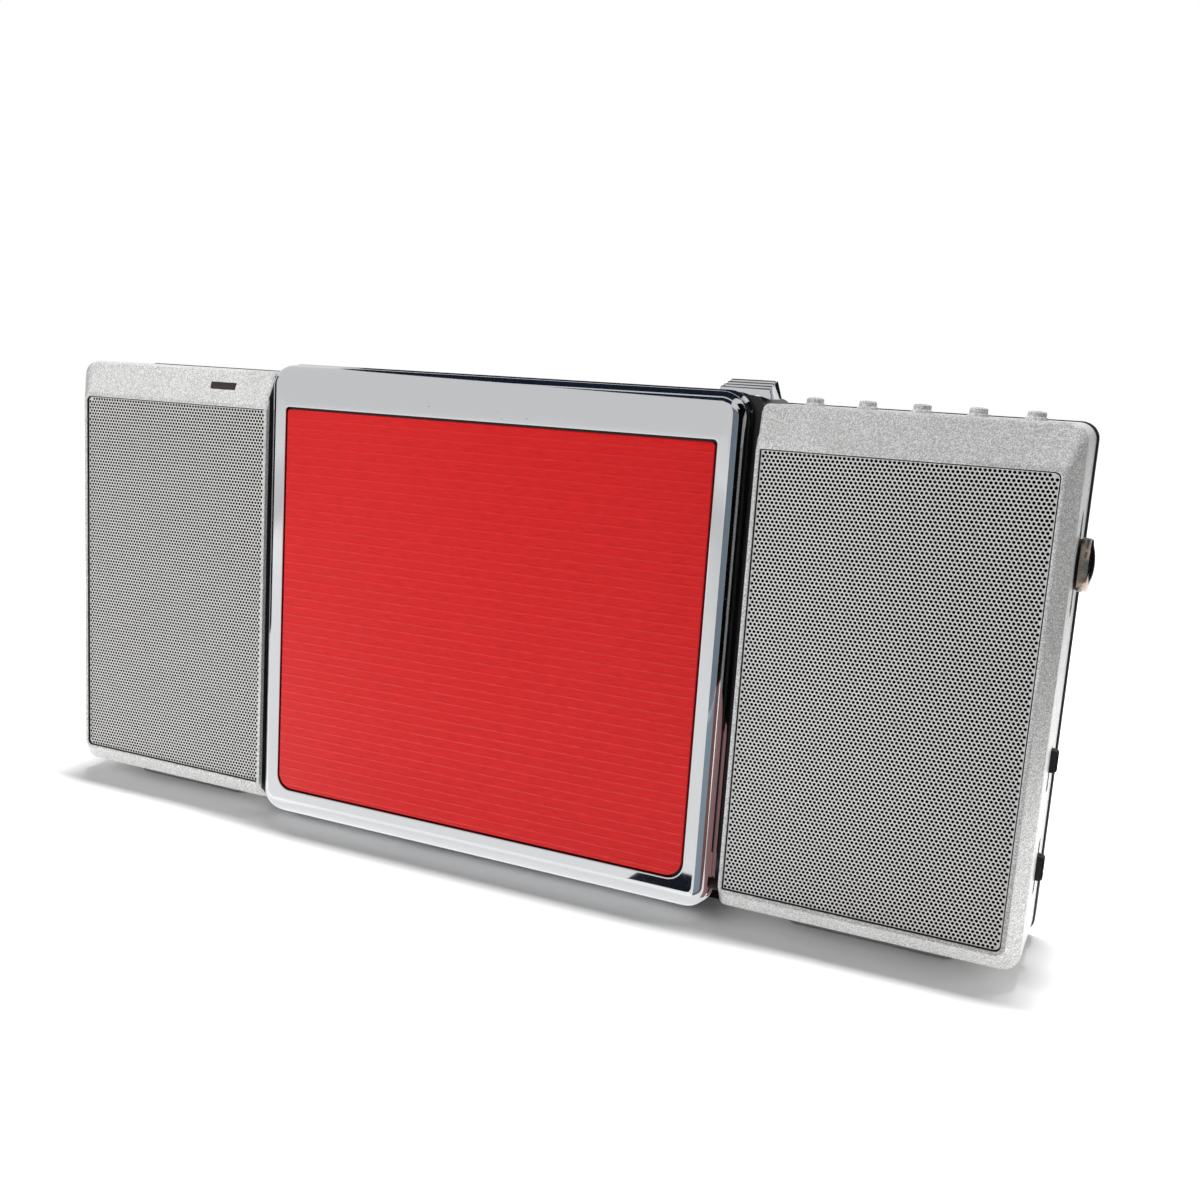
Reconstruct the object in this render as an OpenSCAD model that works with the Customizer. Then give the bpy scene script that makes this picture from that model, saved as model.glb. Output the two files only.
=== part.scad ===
// Portable disc player with two speaker wings.
// Millimetres. +X is the player's right as seen from the front, +Y the back, +Z up.
// The origin is on the ground, below the middle of the player.

/* [Disc] */
// Width of the disc cartridge that the holder takes
disc_w = 72; // [64:0.5:80]
// Height of the disc cartridge
disc_h = 68; // [60:0.5:76]
// Thickness of the disc cartridge
disc_t = 5; // [4.6:0.1:7]
// Clearance around the cartridge in its holder
disc_clear = 0.25; // [0.1:0.05:0.5]

/* [Lid] */
// Wall of the lid frame
lid_wall = 1.5; // [1.2:0.1:2]
// Depth of the lid frame, front to back
lid_d = 4.3; // [3.8:0.1:5]
// Radius of the lid's corners
lid_corner = 3.8; // [2.6:0.1:6]
// Rounding of the lid's front edge
lid_fillet = 2; // [0.5:0.1:2.4]
// Gap between the lid and the ground
lid_lift = 1.3; // [1:0.1:4]
// How far the lid's front stands ahead of the grilles
lid_proud = 1.9; // [1:0.1:3]
// Gap between the lid and each wing
lid_side_gap = 1.3; // [0.8:0.1:2.5]
// Border of the lid left and right of the panel
panel_side = 3.8; // [3:0.05:7]
// Border of the lid above the panel
panel_top = 7; // [4:0.1:12]
// Border of the lid below the panel
panel_bottom = 5.1; // [3:0.1:10]
// Thickness of the lid panel
panel_t = 0.85; // [0.5:0.05:1]
// Seam between the panel and the lid
panel_seam = 0.3; // [0.1:0.05:0.6]
// Radius of the panel's upper corners
panel_corner_high = 0.6; // [0.3:0.1:3]
// Radius of the panel's lower corners
panel_corner_low = 2.5; // [0.5:0.1:4]

/* [Holder and hinge] */
// Sheet thickness of the disc holder
holder_t = 0.5; // [0.3:0.05:0.7]
// How far the cartridge stands out of the holder's sheet metal
disc_grip = 10; // [6:0.5:20]
// Width of the rails behind the cartridge
holder_rail = 4.5; // [3:0.1:7]
// Radius of the window in the holder's front sheet
holder_window_r = 20; // [8:0.5:24]
// Hinge axis behind the lid's front
hinge_back = 3.5; // [3.2:0.1:4]
// Hinge axis above the lid's lower edge
hinge_up = 4; // [3.6:0.1:5]
// Diameter of the hinge pins
hinge_pin_d = 1.6; // [1:0.1:2]
// Radial clearance of parts that turn or slide on pins
run_clear = 0.05; // [0.02:0.01:0.09]

/* [Wings] */
// Diameter of each speaker
speaker_d = 36; // [32:0.5:42]
// Depth of each speaker
speaker_h = 9.5; // [9:0.1:12]
// Room around the speaker in its wing
speaker_margin = 2.1; // [1.5:0.1:4]
// Wall of the wing shells and the rear cover
wall = 1.5; // [1.2:0.1:2]
// Wall of a wing beside the lid
inner_wall = 1.2; // [1:0.1:2]
// How far a wing's lower edge lies above the lid's
wing_step_low = 0.6; // [0.4:0.1:2]
// How far a wing's top lies below the lid's
wing_step_high = 0.85; // [0.2:0.05:2]
// Radius of a wing's outer corners
wing_corner = 2.4; // [1.5:0.1:5]
// Radius of a wing's corners beside the lid
wing_corner_in = 1; // [0.5:0.1:3]
// How far a wing's outer side falls in toward its front
wing_draft = 0.9; // [0.4:0.1:1]
// How far a wing's shell lies inside the edge of the rear cover
cover_step = 0.3; // [0:0.05:0.4]
// Fall of the sloped border around a grille
bevel_drop = 2.2; // [0.5:0.1:2.4]
// Border between a grille and the lid side of its wing
border_in = 0.9; // [0.8:0.05:2]
// Border between a grille and the outer side of its wing
border_out = 3.45; // [2:0.05:6]
// Border above a grille
border_top = 6.65; // [5:0.05:9]
// Border below a grille
border_bottom = 3.7; // [2:0.05:6]
// Thickness of the perforated grilles
grille_t = 0.5; // [0.3:0.05:0.8]
// Thickness of the dust cloth behind a grille
cloth_t = 0.3; // [0.2:0.05:0.5]
// Thickness of the wall that carries a speaker
baffle_t = 1.2; // [1:0.1:2]
// Depth of the rear cover
cover_d = 5; // [4.5:0.1:6]

/* [Controls] */
// Diameter of the push buttons on top
button_d = 2.9; // [2:0.1:4]
// Distance from button to button
button_pitch = 7.3; // [6.2:0.05:7.5]
// Middle of the row of buttons from the speaker's middle, toward the lid
button_shift = 0.6; // [0:0.1:1]
// Height of a button above the wing
button_proud = 0.85; // [0.7:0.05:2]
// Buttons behind the rim of the grille
button_back = 7.4; // [6:0.1:9]
// Travel of a button
button_travel = 0.5; // [0.2:0.05:0.6]
// Diameter of the shuttle knob
shuttle_d = 7.2; // [5:0.1:8]
// Height of the shuttle knob above the wing's side
shuttle_proud = 1.7; // [1.2:0.1:3]
// Length of the shuttle slot
shuttle_slot = 14.2; // [12:0.1:16]
// Shuttle knob below the wing's top
shuttle_down = 18.7; // [16:0.1:22]
// Length of the hold switch knob
hold_knob = 3.05; // [2:0.05:4]
// Length of the hold switch slot
hold_slot = 6.1; // [5:0.1:8]
// Middle of the hold switch slot above the wing's lower edge
hold_up = 26.8; // [24:0.1:30]
// Length of the tone switch knob
tone_knob = 3.4; // [2:0.05:4]
// Length of the tone switch slot
tone_slot = 7.8; // [6:0.1:9]
// Middle of the tone switch slot above the wing's lower edge
tone_up = 12.9; // [11:0.1:15]
// Height of the slide knobs above the wing's side
slide_proud = 0.4; // [0.3:0.1:2]
// Width of the opening lever, at its foot
lever_w = 7.8; // [6:0.1:9]
// Height of the opening lever above the player frame
lever_proud = 2.3; // [1.2:0.1:3]
// Depth of the opening lever's thumb piece
lever_d = 5.2; // [4:0.1:6]
// Width of the charge lamp window
lamp_w = 5.3; // [3:0.1:8]
// Height of the charge lamp window
lamp_h = 1.2; // [0.8:0.1:2]
// Charge lamp window from the wing's side beside the lid
lamp_in = 10.2; // [7:0.1:14]
// Charge lamp window below the wing's top
lamp_down = 3.25; // [2.6:0.05:5]

/* [Sockets and battery] */
// Diameter of the headphone plug
plug_d = 3.5; // [2.5:0.5:3.5]
// Length of the headphone jack
jack_l = 13; // [10:0.5:14]
// Diameter of the power socket
power_d = 4; // [3:0.1:4.5]
// Width of the flat battery
battery_w = 17; // [14:0.5:18]
// Length of the flat battery
battery_l = 67; // [56:0.5:72]
// Thickness of the flat battery
battery_t = 6.1; // [5:0.1:7]

/* [Drive] */
// Radius of the spindle motor
spindle_r = 7; // [5.5:0.1:8]
// Radius of the turntable
turntable_r = 6.4; // [4.5:0.1:7]
// Radius of the sled motor
sled_motor_r = 3; // [2.4:0.1:3.4]
// Diameter of the guide rods
rod_d = 1.6; // [1.2:0.1:2]
// Diameter of the lead screw
screw_d = 2; // [1.5:0.1:2.4]
// Width of the optical pickup
pickup_w = 10; // [8:0.1:12]
// Thickness of the drive chassis
chassis_t = 0.8; // [0.6:0.1:1.2]
// Thickness of the circuit boards
board_t = 0.8; // [0.6:0.1:1.2]

/* [Hidden] */
$fn = 48;

// Colours
silver = "#c6c8c8";
chrome = "#d9dbde";
red = "#d22d2d";
black = "#1c1c1e";
graphite = "#3a3b3e";
steel = "#a9acb0";
board_green = "#1f5a3c";
sheet_grey = "#bfbcb7";

// Small distances
past = 1;
part_gap = 0.3;
seat_clear = 0.02;
slide_clear = 0.12;

// Lid and holder, from the cartridge outwards
pocket_w = disc_w + 2 * disc_clear;
pocket_t = disc_t + 2 * disc_clear;
holder_w = pocket_w + 2 * holder_t;
holder_side_gap = 1.55;
lid_w = holder_w + 2 * (holder_side_gap + lid_wall);
stop_up = 0.7;
lid_top_gap = 0.95;
contact_t = 1;
tray_wall = 0.8;
tray_clear = 0.2;
tray_h = battery_l + 2 * (contact_t + tray_wall) + tray_clear / 2;
lid_h = max(hinge_up + stop_up + disc_h + lid_top_gap + lid_wall,
    wing_step_low + tray_h + 2 * wall + wing_step_high);
holder_h = disc_h - disc_grip;
lid_z0 = lid_lift;
lid_z1 = lid_z0 + lid_h;
lid_x1 = lid_w / 2;
panel_rest = 0.6;
panel_sink = 0.05;
lid_front_t = panel_t + panel_sink + panel_rest;

// Wings, from the lid outwards
wing_x0 = lid_x1 + lid_side_gap;
wing_w = speaker_d + 2 * speaker_margin + inner_wall + wall;
wing_x1 = wing_x0 + wing_w;
wing_z0 = lid_z0 + wing_step_low;
wing_z1 = lid_z1 - wing_step_high;
inside_x0 = wing_x0 + inner_wall;
inside_x1 = wing_x1 - wall;
inside_z0 = wing_z0 + wall;
inside_z1 = wing_z1 - wall;
grille_x0 = wing_x0 + border_in;
grille_x1 = wing_x1 - border_out;
grille_z0 = wing_z0 + border_bottom;
grille_z1 = wing_z1 - border_top;
grille_corner = 1.3;
rim = 0.6;
rim_lip = 0.4;
speaker_x = (inside_x0 + inside_x1) / 2;
speaker_z = (grille_z0 + grille_z1) / 2;

// Depths, from the lid's front to the back
holder_gap = 0.3;
chassis_gap = 0.5;
board_gap = 1;
post_h = 2;
tray_gap = 1.3;
tray_floor = 0.9;
door_gap = 0.6;
sled_gap = 0.1;
wing_stack = lid_proud + grille_t + cloth_t + baffle_t + speaker_h + tray_gap + tray_floor + tray_clear
    + battery_t + door_gap + wall;
drive_stack = lid_front_t + holder_gap + 2 * holder_t + pocket_t + chassis_gap + chassis_t + sled_gap
    + 2 * sled_motor_r + board_gap + board_t + post_h + wall;
body_d = max(wing_stack, drive_stack);
y_front = -body_d / 2;
y_back = body_d / 2;
lid_in_y = y_front + lid_front_t;
lid_back_y = y_front + lid_d;
holder_y0 = lid_in_y + holder_gap;
pocket_y0 = holder_y0 + holder_t;
pocket_y1 = pocket_y0 + pocket_t;
holder_y1 = pocket_y1 + holder_t;
chassis_y0 = holder_y1 + chassis_gap;
chassis_y1 = chassis_y0 + chassis_t;
hinge_y = y_front + hinge_back;
hinge_z = lid_z0 + hinge_up;
pin_r = hinge_pin_d / 2;
grille_y = y_front + lid_proud;
rim_y = grille_y - rim_lip;
bevel_y = rim_y + bevel_drop;
baffle_y0 = grille_y + grille_t + cloth_t;
baffle_y1 = baffle_y0 + baffle_t;
speaker_back = baffle_y1 + speaker_h;
side_board_gap = 0.9;
side_board_y = speaker_back + side_board_gap;
shell_back = y_back - cover_d;
tray_y0 = speaker_back + tray_gap;
battery_y0 = tray_y0 + tray_floor + tray_clear / 2;
door_y = y_back - wall;
stop_z0 = hinge_z + stop_up - holder_t;
disc_z = hinge_z + stop_up + disc_h / 2;

// Player frame between the wings
frame_y0 = lid_back_y + part_gap;
frame_side = 2.6;
frame_top = 2;
frame_step = 0.35;
frame_corner = 1.5;
frame_z1 = lid_z1 - frame_step;
frame_in_x = wing_x0 - frame_side;
frame_in_z1 = frame_z1 - frame_top;
swing_r = norm([lid_back_y - hinge_y, hinge_up]) + part_gap;

// Hinge lugs on the lid and ears on the holder
lug_r = 2;
lug_in = 1.2;
ear_r = 1.6;
pin_seat = 2;
pin_x0 = pocket_w / 2;
pin_boss = 1.5;

// Opening lever and its catch
lever_pin_r = 0.6;
lever_y = frame_y0 + 5.6;
lever_z = frame_z1 - 3.5;
stem_w = 3;
stem_t = 2;
stem_x1 = frame_in_x - 0.5;
hook_w = 1.4;
hook_t = 0.7;
hook_top = frame_in_z1 - 0.2;
hook_y0 = frame_y0 + 0.4;
hook_tooth = 0.4;
catch_gap = 0.4;
catch_y1 = hook_y0 + 1.8;
catch_t = 1;
catch_tooth = 0.4;
lever_room = 1;
lever_lift = 0.35;
lever_y1 = lever_y + 0.6;
lever_y0 = lever_y1 - lever_d;
lever_x0 = stem_x1 - stem_w - 1;
lever_slope = 0.7;
ridges = 4;
ridge_h = 0.3;
ear_t = 1;

// Speaker
flange_t = 1;
surround_w = 2.4;
basket_in = 8.5;
magnet_in = 9.5;
cone_r = speaker_d / 2 - surround_w;
basket_back_r = speaker_d / 2 - basket_in;
basket_t = 0.8;
magnet_r = speaker_d / 2 - magnet_in;
magnet_h = 3.2;
basket_y1 = speaker_back - magnet_h;
coil_r = 5;
coil_t = 0.4;
cone_t = 0.4;
cone_gap = 0.35;

// Push buttons and their board
button_y = rim_y + button_back;
buttons_x = speaker_x - button_shift;
button_flange = 0.65;
flange_h = 0.6;
foot_r = 0.9;
button_foot = 0.5;
button_end = inside_z1 - slide_clear - flange_h - button_foot;
tact_gap = 0.12;
tact_h = 1.5;
tact_w = 4;
tact_top = button_end - button_travel - tact_gap;
control_z1 = tact_top - tact_h;
buttons = 5;
board_edge = 0.5;
control_w = (buttons - 1) * button_pitch + tact_w + 2 * board_edge;
control_d = 9;

// Side controls and sockets
switch_d = 5.2;
control_y = side_board_y - switch_d / 2;
shuttle_z = wing_z1 - shuttle_down;
shuttle_base = 0.2;
shuttle_stem = 2.6;
cap_t = 0.5;
cap_rim = 0.4;
slot_gap = 0.2;
slide_w = 2;
switch_face = inside_x1 - 0.7;
stem_end = switch_face + part_gap;
switch_l = 5;
hold_z = wing_z0 + hold_up;
hold_rest = hold_z + (hold_slot - hold_knob) / 2 - slot_gap;
tone_z = wing_z0 + tone_up;
side_board_gap_x = 0.4;
side_board_w = 11.1;
side_board_low = 7;
side_board_high = 10.5;
side_board_x1 = inside_x1 - side_board_gap_x;
side_board_x0 = side_board_x1 - side_board_w;
side_board_z0 = wing_z0 + side_board_low;
side_board_z1 = wing_z1 - side_board_high;
socket_r = 3;
socket_down = 19;
power_up = 14;
socket_z = wing_z1 - socket_down;
power_z = wing_z0 + power_up;
jack_body = 6;

// Charge lamp
lamp_x = wing_x0 + lamp_in;
lamp_z = wing_z1 - lamp_down;
lamp_flange = 0.6;
lamp_board_w = 8;
lamp_board_d = 5;
lamp_depth = 1.6;

// Battery
battery_x = speaker_x;
battery_z = (wing_z0 + wing_z1) / 2;
tray_x = battery_w / 2 + tray_clear + tray_wall;
tray_y1 = door_y - part_gap;
knuckle_r = wall / 2 + 0.05;
door_x0 = battery_x - tray_x + 0.8;
door_x1 = battery_x + tray_x - 0.2;
door_pin_x = door_x1 - knuckle_r;
door_pin_r = 0.5;
door_pin_l = 0.7;
door_edge = 2.6;
door_z0 = wing_z0 + door_edge;
door_z1 = wing_z1 - door_edge;
grip_ribs = 5;

// Drive
chassis_x1 = frame_in_x - 3;
chassis_z = disc_h / 2 - 6.5;
damper_x = chassis_x1 - 2;
damper_z = chassis_z - 3.5;
damper_t = 1.3;
damper_r = 1.8;
lug_y0 = chassis_y1 + damper_t;
lug_t = 1.8;
lug_half = 2.5;
drive_screw_r = 0.7;
drive_head_r = 1.3;
drive_head_t = 0.8;
hub_in = 0.9;
turntable_y0 = pocket_y1 - disc_clear - hub_in;
turntable_y1 = chassis_y0 - part_gap;
shaft_r = 0.75;
spindle_h = 4;
rod_r = rod_d / 2;
rod_side = 1.5;
rod_back = 1.7;
rod_z = spindle_r + rod_side;
rod_y = chassis_y1 + rod_back;
tab_t = 1.2;
tab_r = 1.6;
tab_x0 = 5.2;
screw_r = screw_d / 2;
screw_side = 5;
screw_z = disc_z - rod_z - screw_side;
sled_y = chassis_y1 + sled_gap + sled_motor_r;
sled_l = 11;
stub_r = 0.5;
stub_l = 3;
pickup_gap = 0.5;
pickup_x = spindle_r + pickup_gap + pickup_w / 2;
tab_clear = 1.1;
tab_d = 4.9;
tab_in = 1.7;
tab_x1 = chassis_x1 - tab_in - tab_t;
pickup_travel = tab_x1 - tab_clear - pickup_w / 2 - pickup_x;
pickup_end = 1.7;
pickup_ahead = 0.1;
pickup_back = 3.4;
pickup_half = rod_z + pickup_end;
pickup_y0 = holder_y1 - pickup_ahead;
pickup_y1 = chassis_y1 + pickup_back;
window_gap = 0.4;
nut_w = 3;
lens_r = 1.8;
main_y0 = sled_y + sled_motor_r + board_gap;
main_y1 = main_y0 + board_t;
main_x1 = frame_in_x - 1.5;
main_z0 = wing_z0 + 6;
main_z1 = frame_in_z1 - 5;
post_r = 2;
post_in = 3.5;

// Screws and feet
boss_r = 2.4;
boss_in = 1.9;
boss_l = 4.5;
screw_hole_r = 0.8;
screw_head_r = 1.6;
screw_head_t = 0.8;
frame_screw_in = 8;
foot_d = 10;
foot_y = 1;
wing_foot_w = 24;
frame_foot_w = 30;
foot_corner = 1.5;

// Places of the case screws on one side, as X and Z
wing_bosses = [for (x = [inside_x0 + boss_in, inside_x1 - boss_in])
    for (z = [inside_z0 + boss_in, inside_z1 - boss_in]) [x, z]];
frame_bosses = [for (z = [wing_z0 + frame_screw_in, frame_in_z1 - frame_screw_in])
    [wing_x0 - frame_side / 2, z]];
damper_places = [for (x = [-damper_x, damper_x], z = [disc_z - damper_z, disc_z + damper_z]) [x, z]];

// A box between two values on each axis
module block(x, y, z) {
    translate([x[0], y[0], z[0]]) cube([x[1] - x[0], y[1] - y[0], z[1] - z[0]]);
}

// A flat shape in X and Z, drawn out along Y
module along_y(y) {
    translate([0, y[1], 0]) rotate([90, 0, 0]) linear_extrude(y[1] - y[0]) children();
}

// A flat shape in Y and Z, drawn out along X
module along_x(x) {
    translate([x[0], 0, 0]) rotate([90, 0, 90]) linear_extrude(x[1] - x[0]) children();
}

// A round bar along Y
module bar_y(r, x, z, y) {
    translate([x, y[1], z]) rotate([90, 0, 0]) cylinder(r = r, h = y[1] - y[0]);
}

// A round bar along X
module bar_x(r, y, z, x) {
    translate([x[0], y, z]) rotate([0, 90, 0]) cylinder(r = r, h = x[1] - x[0]);
}

// What lies between a square corner and its radius
module corner_cut(x, z, turn, r) {
    translate([x, z]) rotate(turn) difference() {
        translate([-past, -past]) square(r + past);
        translate([r, r]) circle(r);
    }
}

// A rectangle with a radius for its low left, low right, high right and high left corners
module round_rect(x, z, r) {
    difference() {
        translate([x[0], z[0]]) square([x[1] - x[0], z[1] - z[0]]);
        corner_cut(x[0], z[0], 0, r[0]);
        corner_cut(x[1], z[0], 90, r[1]);
        corner_cut(x[1], z[1], 180, r[2]);
        corner_cut(x[0], z[1], 270, r[3]);
    }
}

// A slot with round ends, upright on its middle
module slot(y, z, w, l) {
    translate([y - w / 2, z - l / 2 + w / 2]) square([w, l - w]);
    translate([y, z - l / 2 + w / 2]) circle(w / 2);
    translate([y, z + l / 2 - w / 2]) circle(w / 2);
}

// The shape and its mirror image on the other side of the player
module both_sides() {
    children();
    mirror([1, 0, 0]) children();
}

module left_side() {
    mirror([1, 0, 0]) children();
}

// The right wing seen from the front, set in from its outer side and half as far above and below
module wing_outline(inset) {
    round_rect([wing_x0, wing_x1 - inset], [wing_z0 + inset / 2, wing_z1 - inset / 2],
        [wing_corner_in, wing_corner, wing_corner, wing_corner_in], $fn = 32);
}

// The outside of the right wing: a sloped border around a flat rim, and sides that fall in to it
module wing_solid() {
    rim_thin = 0.01;
    hull() {
        along_y([shell_back - rim_thin, shell_back]) wing_outline(cover_step);
        along_y([bevel_y, bevel_y + rim_thin]) wing_outline(wing_draft);
        along_y([rim_y, rim_y + rim_thin])
            round_rect([wing_x0 + part_gap, grille_x1 + rim], [grille_z0 - rim, grille_z1 + rim],
                [wing_corner_in, grille_corner + rim, grille_corner + rim, wing_corner_in], $fn = 32);
    }
}

// A right wing's shell without its controls
module wing_shell() {
    inner_corner = max(wing_corner - wall, 0.5);
    grille_fit = 0.05;
    difference() {
        wing_solid();
        difference() {
            along_y([baffle_y1, shell_back + past])
                round_rect([inside_x0, inside_x1], [inside_z0, inside_z1],
                    [0.5, inner_corner, inner_corner, 0.5]);
            for (b = wing_bosses) bar_y(boss_r, b[0], b[1], [shell_back - boss_l, shell_back + past]);
            bar_x(lug_r, hinge_y, hinge_z, [wing_x0, inside_x0 + pin_boss]);
        }
        along_y([rim_y - past, baffle_y0]) grille_shape(grille_fit);
        bar_y(cone_r + cone_gap, speaker_x, speaker_z, [baffle_y0 - past, baffle_y1 + past]);
        bar_x(pin_r + seat_clear, hinge_y, hinge_z, [wing_x0 - past, wing_x0 + pin_seat]);
        for (b = wing_bosses)
            bar_y(screw_hole_r + seat_clear, b[0], b[1], [shell_back - boss_l + wall, shell_back + past]);
    }
}

module grille_shape(grow) {
    round_rect([grille_x0 - grow, grille_x1 + grow], [grille_z0 - grow, grille_z1 + grow],
        [0.2, grille_corner, grille_corner, 0.2]);
}

module right_shell() {
    color(silver) difference() {
        wing_shell();
        for (i = [0 : buttons - 1])
            translate([button_x(i), button_y, inside_z1 - past])
                cylinder(r = button_d / 2 + slide_clear, h = wall + 2 * past);
        along_x([inside_x1 - past, wing_x1 + past]) {
            slot(control_y, shuttle_z, shuttle_stem + 2 * slot_gap, shuttle_slot);
            slide_opening(hold_z, hold_slot);
            slide_opening(tone_z, tone_slot);
        }
    }
}

module slide_opening(z, l) {
    translate([control_y - slide_w / 2 - slot_gap, z - l / 2]) square([slide_w + 2 * slot_gap, l]);
}

module left_shell() {
    color(silver) left_side() difference() {
        wing_shell();
        bar_x(socket_r + seat_clear, control_y, socket_z, [inside_x1 - past, wing_x1 + past]);
        bar_x(socket_r + seat_clear, control_y, power_z, [inside_x1 - past, wing_x1 + past]);
        block([lamp_x - lamp_w / 2, lamp_x + lamp_w / 2], [rim_y - past, baffle_y1 + past],
            [lamp_z - lamp_h / 2, lamp_z + lamp_h / 2]);
    }
}

module grille() {
    color(sheet_grey) along_y([grille_y, grille_y + grille_t]) grille_shape(0);
}

module grille_cloth() {
    color(black) along_y([grille_y + grille_t, baffle_y0]) grille_shape(0);
}

// A ring of revolution about the right speaker's axis, drawn as radius and depth
module speaker_turn() {
    translate([speaker_x, 0, speaker_z]) rotate([-90, 0, 0]) rotate_extrude() children();
}

module speaker_basket() {
    coil_room = coil_r + part_gap;
    color(graphite) speaker_turn() {
        polygon([[cone_r + cone_gap, baffle_y1], [speaker_d / 2, baffle_y1],
            [speaker_d / 2, baffle_y1 + flange_t],
            [cone_r + cone_gap + basket_t, baffle_y1 + flange_t], [basket_back_r, basket_y1],
            [coil_room, basket_y1], [coil_room, basket_y1 - basket_t],
            [basket_back_r - basket_t, basket_y1 - basket_t],
            [cone_r + cone_gap, baffle_y1 + flange_t]]);
    }
}

module speaker_magnet() {
    groove = 1.6;
    color(steel) speaker_turn() difference() {
        translate([0, basket_y1]) square([magnet_r, magnet_h]);
        translate([coil_r - coil_t - part_gap, basket_y1 - past])
            square([coil_t + 2 * part_gap, groove + past]);
    }
}

// The cone with its voice coil, clear of the basket and the magnet over its travel
module speaker_cone() {
    cone_y0 = baffle_y1 - 0.2;
    cone_y1 = basket_y1 - basket_t - 1.2;
    coil_y1 = basket_y1 + 0.6;
    color(black) speaker_turn() {
        polygon([[0, cone_y1 - cone_t], [coil_r - coil_t, cone_y1 - cone_t], [cone_r, cone_y0],
            [cone_r, cone_y0 + cone_t], [coil_r, cone_y1], [coil_r, coil_y1], [coil_r - coil_t, coil_y1],
            [coil_r - coil_t, cone_y1], [0, cone_y1]]);
    }
}

module player_frame() {
    relief_w = hook_w + 2 * part_gap;
    slot_y = [lever_y - stem_t / 2 - part_gap, lever_y + stem_t / 2 + lever_room];
    color(silver) difference() {
        union() {
            along_y([frame_y0, shell_back]) difference() {
                round_rect([-wing_x0, wing_x0], [wing_z0, frame_z1],
                    [part_gap, part_gap, frame_corner, frame_corner]);
                translate([-frame_in_x, wing_z0 + frame_top])
                    square([2 * frame_in_x, frame_in_z1 - wing_z0 - frame_top]);
            }
            for (d = damper_places) damper_lug(d);
            block([stem_x1 - stem_w - part_gap - ear_t, stem_x1 - stem_w - part_gap],
                [lever_y - lug_r, lever_y + lug_r], [lever_z - lug_r, frame_in_z1 + past]);
        }
        bar_x(swing_r, hinge_y, hinge_z, [-wing_x0 - past, wing_x0 + past]);
        block([stem_x1 - stem_w - part_gap, stem_x1 + part_gap], slot_y, [lever_z, frame_z1 + past]);
        block([stem_x1 - relief_w + part_gap, stem_x1 + part_gap], [frame_y0 - past, lever_y],
            [frame_in_z1 - past, frame_in_z1 + lever_room]);
        bar_x(lever_pin_r + seat_clear, lever_y, lever_z,
            [stem_x1 - stem_w - part_gap - ear_t - past, frame_in_x + ear_t]);
        for (d = damper_places)
            bar_y(drive_screw_r + run_clear, d[0], d[1], [lug_y0 - past, lug_y0 + lug_t + past]);
        both_sides() for (b = frame_bosses)
            bar_y(screw_hole_r + seat_clear, b[0], b[1], [shell_back - boss_l, shell_back + past]);
    }
}

// A lug that reaches from the frame's side to a damper
module damper_lug(d) {
    wall_x = sign(d[0]) * (frame_in_x + past);
    block([min(d[0] - lug_half, wall_x), max(d[0] + lug_half, wall_x)], [lug_y0, lug_y0 + lug_t],
        [d[1] - lug_half, d[1] + lug_half]);
}

module top_strip() {
    strip_w = 44;
    strip_d = 5.6;
    strip_h = 0.7;
    color(silver) translate([0, frame_y0 + strip_d / 2 + 3, frame_z1]) linear_extrude(strip_h)
        round_rect([-strip_w / 2, strip_w / 2], [-strip_d / 2, strip_d / 2], [1, 1, 1, 1]);
}

module hinge_pins() {
    color(steel) both_sides() bar_x(pin_r, hinge_y, hinge_z, [pin_x0, wing_x0 + pin_seat]);
}

// The lid's outside, with its front edge rounded all round
module lid_solid() {
    ring_r = lid_corner - lid_fillet;
    back_thin = 0.1;
    hull() {
        along_y([lid_back_y - back_thin, lid_back_y])
            round_rect([-lid_x1, lid_x1], [lid_z0, lid_z1],
                [lid_corner, lid_corner, lid_corner, lid_corner], $fn = 32);
        for (x = [-1, 1], z = [lid_z0 + lid_corner, lid_z1 - lid_corner])
            translate([x * (lid_x1 - lid_corner), y_front + lid_fillet, z]) rotate([90, 0, 0])
                rotate_extrude($fn = 32) intersection() {
                    translate([ring_r, 0]) circle(lid_fillet, $fn = 32);
                    translate([0, -lid_fillet]) square([lid_corner, 2 * lid_fillet]);
                }
    }
}

module panel_shape(grow) {
    round_rect([-lid_x1 + panel_side - grow, lid_x1 - panel_side + grow],
        [lid_z0 + panel_bottom - grow, lid_z1 - panel_top + grow],
        [panel_corner_low, panel_corner_low, panel_corner_high, panel_corner_high]);
}

module lid_frame() {
    inner_r = max(lid_corner - lid_wall, 0.5);
    inner_x = lid_x1 - lid_wall;
    color(chrome) difference() {
        union() {
            difference() {
                lid_solid();
                along_y([lid_in_y, lid_back_y + past])
                    round_rect([-inner_x, inner_x], [lid_z0 + lid_wall, lid_z1 - lid_wall],
                        [inner_r, inner_r, inner_r, inner_r]);
            }
            both_sides() bar_x(lug_r, hinge_y, hinge_z, [inner_x - lug_in, lid_x1 - part_gap]);
        }
        along_y([y_front - past, y_front + panel_sink + panel_t]) panel_shape(panel_seam);
        both_sides() bar_x(pin_r + run_clear, hinge_y, hinge_z, [pocket_w / 2, lid_x1 + past]);
    }
}

module lid_panel() {
    color(red) along_y([y_front + panel_sink, y_front + panel_sink + panel_t]) panel_shape(0);
}

// A hook on the lid's inside that the opening lever's hook reaches over
module lid_catch() {
    x = [stem_x1 - hook_w, stem_x1];
    top = hook_top - hook_t - hook_tooth - catch_gap;
    color(graphite) {
        block(x, [lid_in_y, catch_y1], [top - catch_tooth - catch_t, top - catch_tooth]);
        block(x, [catch_y1 - 2 * catch_tooth, catch_y1], [top - catch_tooth, top]);
    }
}

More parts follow.
